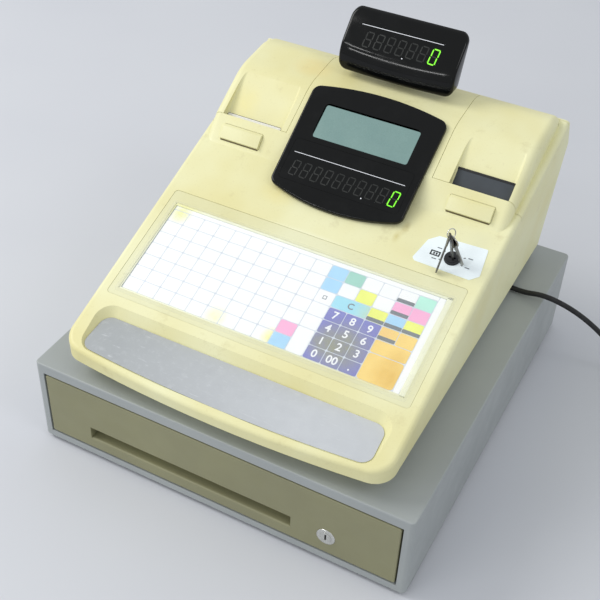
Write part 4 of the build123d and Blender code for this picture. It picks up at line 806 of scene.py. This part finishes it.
class REGISTER_OT_openings(bpy.types.Operator):
    """Lays the wide glass of the sloping display, the cutter's plate and the paper strip in their openings"""
    bl_idname = "ticket_register.openings"
    bl_label = "Glass, cutter plate and paper strip"

    def execute(self, context):
        def laid(size, at, finish):
            return painted(settle(tile(*size, 0, 1), COVERS @ shift(*at)), bpy.data.materials[finish])

        glass = settle(tile(*GLASS_SIZE, GLASS_CORNER, 5), POD @ shift(*GLASS_AT))
        glass = smoothed(bevelled(glass, GLASS_EDGE, 1), 30)
        painted(glass, bpy.data.materials["grey green glass"])
        glass.name = "wide_glass"
        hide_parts("lcd_module")
        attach(glass, "base")

        plate = laid(CUTTER_SIZE, CUTTER_AT, "dark grey moulding")
        plate.name = "wide_cutter_plate"
        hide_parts("cutter_plate")
        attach(plate, "receipt_lid")
        # painted shade over the top of the cutter plate
        shade = laid(CUTTER_SHADE_SIZE, CUTTER_SHADE_AT, "dark backing and painted shade")
        shade.name = "cutter_gap_painted_shade"
        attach(shade, "receipt_lid")

        shades = [laid(size, at, "dark backing and painted shade") for size, at in PAPER_SHADES]
        strip = joined([laid(PAPER_SIZE, PAPER_AT, "ticket paper")] + shades, "paper_strip")
        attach(strip, "journal_lid")
        return {"FINISHED"}


# The marks round the mode lock, in millimetres from its middle: the key symbol as bars of
# (across, along, width, height), and the angles of the positions with their ticks and words
SYMBOL_BARS = ((-18.4, 2.4, 10.4, 1.4), (-18.4, -2.4, 10.4, 1.4), (-22.9, 0, 1.5, 6.2),
                (-13.9, 0, 1.5, 6.2), (-19.6, 0, 1.8, 2.6), (-16.8, 0, 1.8, 2.6))
POSITION_ANGLES = (100, 150, 205, -20, 25)
TICK_REACH, WORD_ACROSS, WORD_ALONG = 12.4, 19, 15
PLATE_TOP, INK_THICK = 0.62, 0.05


class REGISTER_OT_lock_plate(bpy.types.Operator):
    """Prints the position marks on the plate round the mode lock"""
    bl_idname = "ticket_register.lock_plate"
    bl_label = "Lock plate marks"

    def execute(self, context):
        ink = stained_print("lock plate ink", rgb(36, 38, 42))
        faint = stained_print("lock plate grey ink", rgb(104, 110, 116))
        middle = DECK @ shift(*LOCK_AT, PLATE_TOP)
        marks = []
        for across, along, width, height in SYMBOL_BARS:
            bar = tile(width, height, INK_THICK, 0.2, 1)
            marks.append(painted(settle(bar, middle @ shift(across, along)), ink))
        for degrees in POSITION_ANGLES:
            angle = math.radians(degrees)
            tick_place = middle @ Matrix.Rotation(angle, 4, "Z") @ shift(TICK_REACH, 0)
            marks.append(painted(settle(tile(2.4, 1.0, INK_THICK, 0.3, 2), tick_place), ink))
            word_place = middle @ shift(WORD_ACROSS * math.cos(angle), WORD_ALONG * math.sin(angle))
            marks.append(painted(settle(tile(5.0, 1.1, INK_THICK, 0.3, 2), word_place), faint))
        piece = joined(marks, "lock_plate_marks")
        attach(piece, "base")
        return {"FINISHED"}


# The turning display's shell, in millimetres: the block it is cut from, the bowed band under the
# face, the slope of the back, the rounded corners and edges, and the neck
HEAD_HALF, HEAD_LOW, HEAD_HIGH = 68.0, 315.6, 376.0
HEAD_BLANK_FRONT, HEAD_BLANK_BACK = 144, 196
BAND_FRONT, BAND_RADIUS, BAND_FACET = 147.6, 760.0, 15.5
BACK_AT, BACK_SLOPE = (0, 191.5, HEAD_HIGH), (0, 0.923, -0.384)
HEAD_CORNER, CREASE_RADIUS, HEAD_EDGE = 10.0, 11, 3.4
NECK_LOW, NECK_HIGH, NECK_RADIUS, NECK_Y = 316, 345, 15, 182


class REGISTER_OT_customer_head(bpy.types.Operator):
    """Cuts and rounds the glossy shell of the turning display"""
    bl_idname = "ticket_register.customer_head"
    bl_label = "Turning display shell"

    def execute(self, context):
        shell = blank(-HEAD_HALF, HEAD_HALF, HEAD_BLANK_FRONT, HEAD_BLANK_BACK, HEAD_LOW, HEAD_HIGH)
        # the upright band bows forward in facets
        for step in range(-4, 5):
            x = step * BAND_FACET
            lean = x / BAND_RADIUS
            bow = x * x / (2 * BAND_RADIUS)
            planed(shell, (x, BAND_FRONT + bow, HEAD_LOW), (math.sin(lean), -math.cos(lean), 0))
        # the sloping face, then the back's slope
        planed(shell, (0, *HEAD_CREASE), HEAD_FACE.to_3x3() @ Vector((0, 0, 1)))
        planed(shell, BACK_AT, BACK_SLOPE)
        # the four corners seen from the front
        for side in (-1, 1):
            for end, middle in ((-1, HEAD_LOW + HEAD_CORNER), (1, HEAD_HIGH - HEAD_CORNER)):
                for degrees in (9, 27, 45, 63, 81):
                    turn = math.radians(degrees)
                    normal = Vector((side * math.cos(turn), 0, end * math.sin(turn)))
                    centre = Vector((side * (HEAD_HALF - HEAD_CORNER), BAND_FRONT, middle))
                    planed(shell, centre + normal * HEAD_CORNER, normal)
        # the crease between the face and the upright band is rolled wide, the other edges less
        only(shell)
        bpy.ops.object.mode_set(mode="EDIT")
        bpy.ops.mesh.select_all(action="DESELECT")
        crease_back, crease_low, crease_high = 153, 335, 345
        mesh = bmesh.from_edit_mesh(shell.data)
        for edge in mesh.edges:
            ends = [vertex.co / MM for vertex in edge.verts]
            edge.select = all(end.y < crease_back and crease_low < end.z < crease_high for end in ends)
        bmesh.update_edit_mesh(shell.data)
        bpy.ops.mesh.bevel(offset=CREASE_RADIUS * MM, segments=8, affect="EDGES")
        bpy.ops.object.mode_set(mode="OBJECT")
        shell = bevelled(shell, HEAD_EDGE, 5, 25)
        neck = settle(turned([(NECK_LOW, NECK_RADIUS), (NECK_HIGH, NECK_RADIUS)], 40), shift(0, NECK_Y))
        shell = smoothed(joined([shell, bevelled(neck, 2.5, 3)], "head_shell"), 24)
        painted(shell, bpy.data.materials["polished black"])
        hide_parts("display_head", "head_window", "head_digits")
        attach(shell, "customer_head")
        return {"FINISHED"}


class REGISTER_OT_lower_case(bpy.types.Operator):
    """Rakes the nose of the lower case inwards, so that the upper case overhangs it"""
    bl_idname = "ticket_register.lower_case"
    bl_label = "Raked lower case"

    def execute(self, context):
        nose_back, seam_height = -0.12, 127.4 * MM
        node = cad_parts["lower_case"]
        piece = bpy.data.objects.new("raked_lower_case", node.data.copy())
        context.scene.collection.objects.link(piece)
        opened(settle(piece, node.matrix_world.copy()))
        bpy.ops.mesh.remove_doubles(threshold=0.001 * MM)
        mesh = bmesh.from_edit_mesh(piece.data)
        # the foot of the nose is drawn in towards a point behind it, then the whole nose a little
        for ceiling, growth, middle in ((seam_height, (0.95, 0.955, 1), (0, 0.08, 0)),
                                        (math.inf, (0.993, 0.993, 1), (0, 0, 0))):
            bpy.ops.mesh.select_all(action="DESELECT")
            for vertex in mesh.verts:
                vertex.select = vertex.co.z < ceiling and vertex.co.y < nose_back
            mesh.select_flush_mode()
            bmesh.update_edit_mesh(piece.data)
            bpy.ops.transform.resize(value=growth, center_override=middle)
        bpy.ops.object.mode_set(mode="OBJECT")
        painted(smoothed(piece, 30), bpy.data.materials["pale cream case"])
        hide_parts("lower_case")
        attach(piece, "base")
        return {"FINISHED"}


# The latch buttons' lips, in millimetres on their ramps, then the plane that tapers them and the
# strip of painted shade under each
LIP_HALF, LIP_NEAR, LIP_FAR, LIP_FOOT, LIP_TOP = 24.1, 6.0, 22.4, 0.6, 3.4
LIP_TAPER_FROM, LIP_TAPER = 0.78, (0, 2.6, 11.4)
BUTTON_X = 135.5
SHADE_STRIP_WIDTH, SHADE_STRIP_HEIGHT, SHADE_STRIP_RISE = 48.0, 1.7, 4.7


class REGISTER_OT_latch_lips(bpy.types.Operator):
    """Puts the thumb lip on each cover latch button and a strip of painted shade under it"""
    bl_idname = "ticket_register.latch_lips"
    bl_label = "Latch button lips"

    def execute(self, context):
        cream = bpy.data.materials["cream case"]
        dark = textured_black("latch gap shade", rgb(108, 96, 56), rgb(92, 80, 44))
        lip = blank(-LIP_HALF, LIP_HALF, LIP_NEAR, LIP_FAR, LIP_FOOT, LIP_TOP)
        lip = planed(lip, (0, LIP_FAR, LIP_TAPER_FROM), LIP_TAPER)
        lip = smoothed(bevelled(lip, 1.3, 4), 40)
        # painted shade: a flat dark brown strip on the ramp under each button, where the lip's shadow falls
        gap_painted_shade = tile(SHADE_STRIP_WIDTH, SHADE_STRIP_HEIGHT, 0.06, 0.6, 2)
        for side, body in ((-1, "latch_left"), (1, "latch_right")):
            place = RAMP @ shift(side * BUTTON_X, 0)
            piece = painted(twin(lip, place), cream)
            piece.name = f"{body}_lip"
            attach(piece, body)
            piece = painted(twin(gap_painted_shade, place @ shift(0, SHADE_STRIP_RISE, 0.02)), dark)
            piece.name = f"{body}_gap"
            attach(piece, "base")
        drop(lip, gap_painted_shade)
        return {"FINISHED"}


# The border round the key sheet, in millimetres on the deck: its outer and its inner edges
BORDER_SIDE, BORDER_FRONT, BORDER_BACK = 161.2, 8.8, 128.2
INNER_LEFT, INNER_RIGHT, INNER_FRONT, INNER_BACK = -159.4, 154.8, 11.1, 125.3
BORDER_FOOT, BORDER_TOP = -2.2, -0.9


class REGISTER_OT_sheet_border(bpy.types.Operator):
    """Lays the soft milky border round the key sheet, under the clear cover"""
    bl_idname = "ticket_register.sheet_border"
    bl_label = "Key sheet border"

    def execute(self, context):
        milky = stained_print("milky border", rgb(238, 239, 212),
                              [(-149, 122, 26, rgb(236, 232, 140), 0.9),
                               (120, 12, 40, rgb(236, 228, 160), 0.8),
                               (20, 10, 60, rgb(230, 232, 190), 0.8)])
        bars = []
        for left, right, front, back in ((-BORDER_SIDE, INNER_LEFT, BORDER_FRONT, BORDER_BACK),
                                         (INNER_RIGHT, BORDER_SIDE, BORDER_FRONT, BORDER_BACK),
                                         (-BORDER_SIDE, BORDER_SIDE, BORDER_FRONT, INNER_FRONT),
                                         (-BORDER_SIDE, BORDER_SIDE, INNER_BACK, BORDER_BACK)):
            bar = blank(left, right, front, back, BORDER_FOOT, BORDER_TOP)
            bars.append(settle(bevelled(bar, 0.6, 3), DECK))
        piece = painted(smoothed(joined(bars, "sheet_border"), 50), milky)
        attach(piece, "base")
        return {"FINISHED"}


def key_blank(length, blade, bow, thick):
    """A flat key along Y from its bow to its tip, with its ring hole at the origin."""
    shaft_start, tip, first_notch, notch_pitch, notch_width, hole, hole_rim = 2, 2, 5.5, 3.4, 1.7, 2.1, 3.2
    shaft = blank(-blade / 2, blade / 2, shaft_start, length, -thick / 2, thick / 2)
    for side in (1, -1):
        shaft = planed(shaft, (side * blade / 2, length - tip, 0), (side, 1, 0))
    for index, cut in enumerate((0.9, 1.5, 0.6, 1.3, 0.8)):
        at = length - first_notch - index * notch_pitch
        shaft = drilled(shaft, blank(blade / 2 - cut, blade / 2 + 1, at, at + notch_width, -thick, thick))
    rim, face = bow * 0.94, thick * 0.3
    grip = turned([(-thick / 2, rim), (-face, bow), (face, bow), (thick / 2, rim)], 28)
    grip = settle(grip, shift(0, bow - hole_rim))
    grip = drilled(grip, turned([(-thick, hole), (thick, hole)], 16))
    return smoothed(joined([shaft, grip], "key_blank"), 30)


# The keys, in millimetres: length, blade, bow radius and thickness; a spare is as long as its reach
MODE_KEY, SPARE_KEY = (40.0, 7.0, 8.0, 1.9), (5.4, 7.2, 1.5)
KEY_TOP, KEY_FOOT = 36.0, -4.0
RING_RADIUS, RING_WIRE = 5.0, 1.1


class REGISTER_OT_keys(bpy.types.Operator):
    """Makes the mode key standing in its lock, the ring and the two keys hanging from it"""
    bl_idname = "ticket_register.keys"
    bl_label = "Mode key and spare keys"

    def execute(self, context):
        x0, along = LOCK_AT
        edge_side = Vector((0.39, -0.84, 0.72))  # the keys stand with their edges this way
        steel = bpy.data.materials["bright plating"]
        dull = plated("dull key metal", rgb(104, 102, 98), 0.26, 0.46)
        worn = plated("worn key metal", rgb(158, 157, 152), 0.22, 0.4)
        hole = on_deck(x0 - 1.0, along, KEY_TOP) / MM
        foot = on_deck(x0, along, KEY_FOOT) / MM
        mode = painted(settle(key_blank(*MODE_KEY), from_to(hole, foot, edge_side)), dull)
        mode.name = "standing_key"
        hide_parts("mode_key")

        ring_middle = hole + Vector((-0.5, 0.8, 4.2))
        clear_selection()
        bpy.ops.mesh.primitive_torus_add(major_radius=RING_RADIUS * MM, minor_radius=RING_WIRE / 2 * MM,
                                         major_segments=36, minor_segments=10)
        tilt = Vector((0.75, -0.5, 0.25)).to_track_quat("Z", "Y").to_matrix().to_4x4()
        ring = settle(bpy.context.object, Matrix.Translation(ring_middle * MM) @ tilt)
        painted(smoothed(ring, 60), steel)
        ring.name = "split_ring"
        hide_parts("key_ring")

        spares = []
        for tip, dx, sideways, metal in (((132.8, 148.6, 1.6), -1.6, Vector((0, 0, 0)), dull),
                                         ((153.6, 166.0, 2.4), 1.6, Vector((0.3, 0.16, 0)), worn)):
            start = hole + Vector((dx, -0.6, 0.6))
            end = on_deck(*tip) / MM
            key = key_blank((end - start).length, *SPARE_KEY)
            spares.append(painted(settle(key, from_to(start, end, edge_side + sideways)), metal))
        spare = joined(spares, "hanging_keys")
        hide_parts("spare_keys")
        for piece in (mode, ring, spare):
            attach(piece, "mode_plug")
        return {"FINISHED"}


# The cord's own points, in metres: out of the sleeve, down to the floor, on to the put-away coil,
# and from the coil to the plug
ROUTE = ((0.125, 0.1323, 0.117), (0.153, 0.1323, 0.117), (0.190, 0.1301, 0.1136), (0.216, 0.1275, 0.1225),
         (0.252, 0.136, 0.108), (0.284, 0.153, 0.076), (0.306, 0.170, 0.040), (0.323, 0.192, 0.0033),
         (0.3348, 0.2267, 0.0033))
TAIL = ((0.411, 0.196, 0.0085), (0.411, 0.176, 0.0082))
COIL_MIDDLE = (0.372, 0.215)
COIL_TURNS, TURN_POINTS, COIL_START = 5.45, 16, 162.5
COIL_OUTER, COIL_INNER, INWARDS_TO, OUTWARDS_FROM = 0.039, 0.027, 2.6, 2.9
FLOOR_LAY, TOP_LAY_RISE, CLIMB_FROM, CLIMB_FOR = 0.0033, 0.0056, 2.5, 0.5
CURVE_INSET = 0.985  # the curve runs this share of its points' distance from the coil's middle


def coil_points():
    """The turns of the put-away coil: inwards on the floor, then outwards on top."""
    points = []
    width = COIL_OUTER - COIL_INNER
    for step in range(1, int(COIL_TURNS * TURN_POINTS) + 1):
        turn = step / TURN_POINTS
        angle = math.radians(COIL_START - 360 * turn)
        radius = COIL_INNER
        if turn <= INWARDS_TO:
            radius = COIL_OUTER - width * turn / INWARDS_TO
        elif turn > OUTWARDS_FROM:
            radius += width * (turn - OUTWARDS_FROM) / (COIL_TURNS - OUTWARDS_FROM)
        climb = min(1.0, max(0.0, (turn - CLIMB_FROM) / CLIMB_FOR))
        reach = radius / CURVE_INSET
        points.append((COIL_MIDDLE[0] + reach * math.cos(angle), COIL_MIDDLE[1] + reach * math.sin(angle),
                       FLOOR_LAY + TOP_LAY_RISE * climb))
    return points


# The sleeve's ribs and the plug, in millimetres
SLEEVE_AT = (122.5, 132.3, 117.0)
RIBS, RIB_START, RIB_PITCH, RIB_RADIUS, RIB_TAPER, RIB_DEPTH = 7, 3.0, 3.4, 6.1, 0.28, 0.75
PLUG_X, PLUG_Y, PLUG_SIZE = 411, 145, (24, 26, 15)


class REGISTER_OT_mains_cord(bpy.types.Operator):
    """Lays the mains cord from its sleeve to the put-away coil and the plug"""
    bl_idname = "ticket_register.mains_cord"
    bl_label = "Mains cord and plug"

    def execute(self, context):
        size = sizes()
        black = rubber("cord rubber")
        points = [*ROUTE, *coil_points(), *TAIL]
        curve = bpy.data.curves.new("mains_cord", "CURVE")
        curve.dimensions = "3D"
        line = curve.splines.new("NURBS")
        line.points.add(len(points) - 1)
        for point, place in zip(line.points, points):
            point.co = (*place, 1.0)
        line.order_u = 3
        line.use_endpoint_u = True
        line.resolution_u = 6
        curve.bevel_depth = size.cord_width / 2
        curve.bevel_resolution = 4
        curve.use_fill_caps = True
        cord = bpy.data.objects.new("mains_cord", curve)
        context.scene.collection.objects.link(cord)
        cord.data.materials.append(black)
        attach(cord, "base")
        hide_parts("power_cord", "cord_coil")

        stations = [(0, 6.3)]
        for rib in range(RIBS):
            start = RIB_START + rib * RIB_PITCH
            radius = RIB_RADIUS - rib * RIB_TAPER
            stations += [(start, radius), (start + 0.5, radius - RIB_DEPTH),
                         (start + 1.5, radius - RIB_DEPTH), (start + 2.0, radius - 0.1)]
        stations += [(27.4, 4.1), (28.0, 3.6)]
        sleeve = settle(turned(stations, 28), shift(*SLEEVE_AT) @ Matrix.Rotation(math.pi / 2, 4, "Y"))
        painted(smoothed(sleeve, 40), black)
        sleeve.name = "cord_relief"
        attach(sleeve, "base")
        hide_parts("cord_sleeve")

        plug = self.plug(black)
        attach(plug, "base")
        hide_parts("plug")
        return {"FINISHED"}

    def plug(self, black):
        """Moulded two-pin plug lying beside the coil, its pins towards the front."""
        clear_selection()
        bpy.ops.mesh.primitive_cube_add(size=MM)
        body = bpy.context.object
        body.scale = PLUG_SIZE
        body.location = Vector((PLUG_X, PLUG_Y, 8.0)) * MM
        bpy.ops.object.transform_apply(location=True, rotation=False, scale=True)
        # the end towards the cord is drawn in, and a collar raised on it
        bpy.ops.object.mode_set(mode="EDIT")
        shape = bmesh.from_edit_mesh(body.data)
        for face in shape.faces:
            face.select = face.normal.y > 0.9
        shape.select_flush(True)
        shape.select_flush(False)
        bmesh.update_edit_mesh(body.data)
        bpy.ops.transform.resize(value=(0.72, 1, 0.8))
        bpy.ops.mesh.inset(thickness=2.2 * MM)
        bpy.ops.mesh.extrude_region_move(TRANSFORM_OT_translate={"value": (0, 3.0 * MM, 0)})
        bpy.ops.transform.resize(value=(0.86, 1, 0.86))
        bpy.ops.object.mode_set(mode="OBJECT")
        painted(smoothed(bevelled(body, 2.0, 4), 50), black)
        tail = turned([(0, 5.2), (4, 5.0), (4.6, 4.3), (7, 4.2), (7.6, 4.8), (10, 4.6), (10.6, 4.0),
                       (13, 3.9), (13.6, 4.4), (16, 4.2), (16.6, 3.7), (19, 3.6), (19.6, 4.0),
                       (24, 3.6)], 24)
        tail_place = shift(PLUG_X, PLUG_Y + PLUG_SIZE[1] / 2, 8.2)
        tail = settle(tail, tail_place @ Matrix.Rotation(-math.pi / 2, 4, "X"))
        painted(smoothed(tail, 40), black)
        plating = plated("pin plating", rgb(206, 196, 160), 0.2, 0.36, (1, 0.2, 1))
        # the five grip ribs and the two pins: size, corner and its steps, then their places and metal
        grips = []
        for size, corner, steps, sides, y, z, metal in (
                ((1.3, 12, 1.0), 0.6, 3, (-6, -3, 0, 3, 6), PLUG_Y - 2, 15.0, black),
                ((1.5, 16.5, 6.2), 0.35, 2, (-6.35, 6.35), 124.3, 5.0, plating)):
            master = bevelled(settle(tile(*size, corner, steps)), 0.3, 2)
            grips += [painted(twin(master, shift(PLUG_X + side, y, z)), metal) for side in sides]
            drop(master)
        return joined([body, tail] + grips, "mains_plug")


# The lights: name, place, aim, width, height, power and tint
LIGHTS = (("key light", (-2.9, -0.75, 2.8), (0, 0, 0.1), 1.8, 1.8, 74.0, (1.0, 0.99, 0.97)),
          ("front light", (-1.0, -2.6, 1.5), (0, 0, 0.2), 1.1, 0.12, 8.0, (1.0, 1.0, 1.0)),
          ("window light", (-1.5, -2.1, 2.2), (0, 0, 0.3), 0.6, 0.16, 5.0, (1.0, 1.0, 1.0)),
          ("right light", (2.0, -0.5, 2.3), (0, 0, 0.15), 0.8, 0.8, 8.0, (0.97, 0.985, 1.0)))
SKY_COLOUR, SKY_STRENGTH = (0.94, 0.97, 1.0, 1.0), 0.65
CAMERA_AT, CAMERA_LENS = (0.3877, -0.8356, 0.8826), 64.57
AZIMUTH, ELEVATION, ROLL = math.radians(26.383), math.radians(39.836), math.radians(2.570)


class REGISTER_OT_studio(bpy.types.Operator):
    """Sets the floor, the soft lights and the camera"""
    bl_idname = "ticket_register.studio"
    bl_label = "Studio"

    def execute(self, context):
        scene = context.scene
        clear_selection()
        bpy.ops.mesh.primitive_plane_add(size=sizes().floor_size, location=(0, 1.5, -0.0005))
        floor = settle(bpy.context.object)
        floor.name = "studio_floor"
        coat = Coat("studio floor", tuple(colours().floor), 0.7)
        coat.layer(coat.cloud(2.5, 2), rgb(204, 206, 212))
        painted(floor, coat.material)

        world = bpy.data.worlds.new("soft sky")
        world.use_nodes = True
        background = world.node_tree.nodes["Background"]
        background.inputs["Color"].default_value = SKY_COLOUR
        background.inputs["Strength"].default_value = SKY_STRENGTH
        scene.world = world
        for name, place, aim, width, height, power, tint in LIGHTS:
            lamp = bpy.data.lights.new(name, "AREA")
            lamp.energy = power
            lamp.shape = "RECTANGLE"
            lamp.size = width
            lamp.size_y = height
            lamp.color = tint
            holder = bpy.data.objects.new(name, lamp)
            scene.collection.objects.link(holder)
            holder.location = place
            holder.rotation_euler = (Vector(aim) - Vector(place)).to_track_quat("-Z", "Y").to_euler()

        level = math.cos(ELEVATION)
        ahead = Vector((-math.sin(AZIMUTH) * level, math.cos(AZIMUTH) * level, -math.sin(ELEVATION)))
        right = ahead.cross(Vector((0, 0, 1))).normalized()
        up = right.cross(ahead)
        across = math.cos(ROLL) * right + math.sin(ROLL) * up
        upward = -math.sin(ROLL) * right + math.cos(ROLL) * up
        lens = bpy.data.cameras.new("camera")
        lens.lens = CAMERA_LENS
        lens.sensor_width = 36
        lens.clip_start, lens.clip_end = 0.01, 50
        camera = bpy.data.objects.new("camera", lens)
        turn = Matrix((across, upward, -ahead)).transposed().to_4x4()
        camera.matrix_world = Matrix.Translation(CAMERA_AT) @ turn
        scene.collection.objects.link(camera)
        scene.camera = camera
        scene.view_settings.view_transform = "Standard"
        return {"FINISHED"}


class REGISTER_PT_panel(bpy.types.Panel):
    """Lists the steps that dress the register"""
    bl_idname = "REGISTER_PT_panel"
    bl_label = "Ticket register"
    bl_space_type = "VIEW_3D"
    bl_region_type = "UI"
    bl_category = "Register"

    def draw(self, context):
        for step in STEPS:
            self.layout.operator(step.bl_idname)


STEPS = (REGISTER_OT_studio, REGISTER_OT_mains_cord, REGISTER_OT_finishes, REGISTER_OT_key_legends,
         REGISTER_OT_sheet_border, REGISTER_OT_readouts, REGISTER_OT_customer_head,
         REGISTER_OT_lower_case, REGISTER_OT_openings, REGISTER_OT_latch_lips, REGISTER_OT_lock_plate,
         REGISTER_OT_keys)
CLASSES = (RegisterSizes, RegisterColours) + STEPS + (REGISTER_PT_panel,)


def register():
    for entry in CLASSES:
        bpy.utils.register_class(entry)
    bpy.types.Scene.register_sizes = PointerProperty(type=RegisterSizes)
    bpy.types.Scene.register_colours = PointerProperty(type=RegisterColours)


def unregister():
    del bpy.types.Scene.register_colours
    del bpy.types.Scene.register_sizes
    for entry in reversed(CLASSES):
        bpy.utils.unregister_class(entry)


def main():
    register()
    bpy.ops.ticket_register.studio()
    bpy.ops.ticket_register.mains_cord()
    bpy.ops.ticket_register.finishes()
    bpy.ops.ticket_register.key_legends()
    bpy.ops.ticket_register.sheet_border()
    bpy.ops.ticket_register.readouts()
    bpy.ops.ticket_register.customer_head()
    bpy.ops.ticket_register.lower_case()
    bpy.ops.ticket_register.openings()
    bpy.ops.ticket_register.latch_lips()
    bpy.ops.ticket_register.lock_plate()
    bpy.ops.ticket_register.keys()
    clear_selection()


if __name__ == "__main__":
    main()
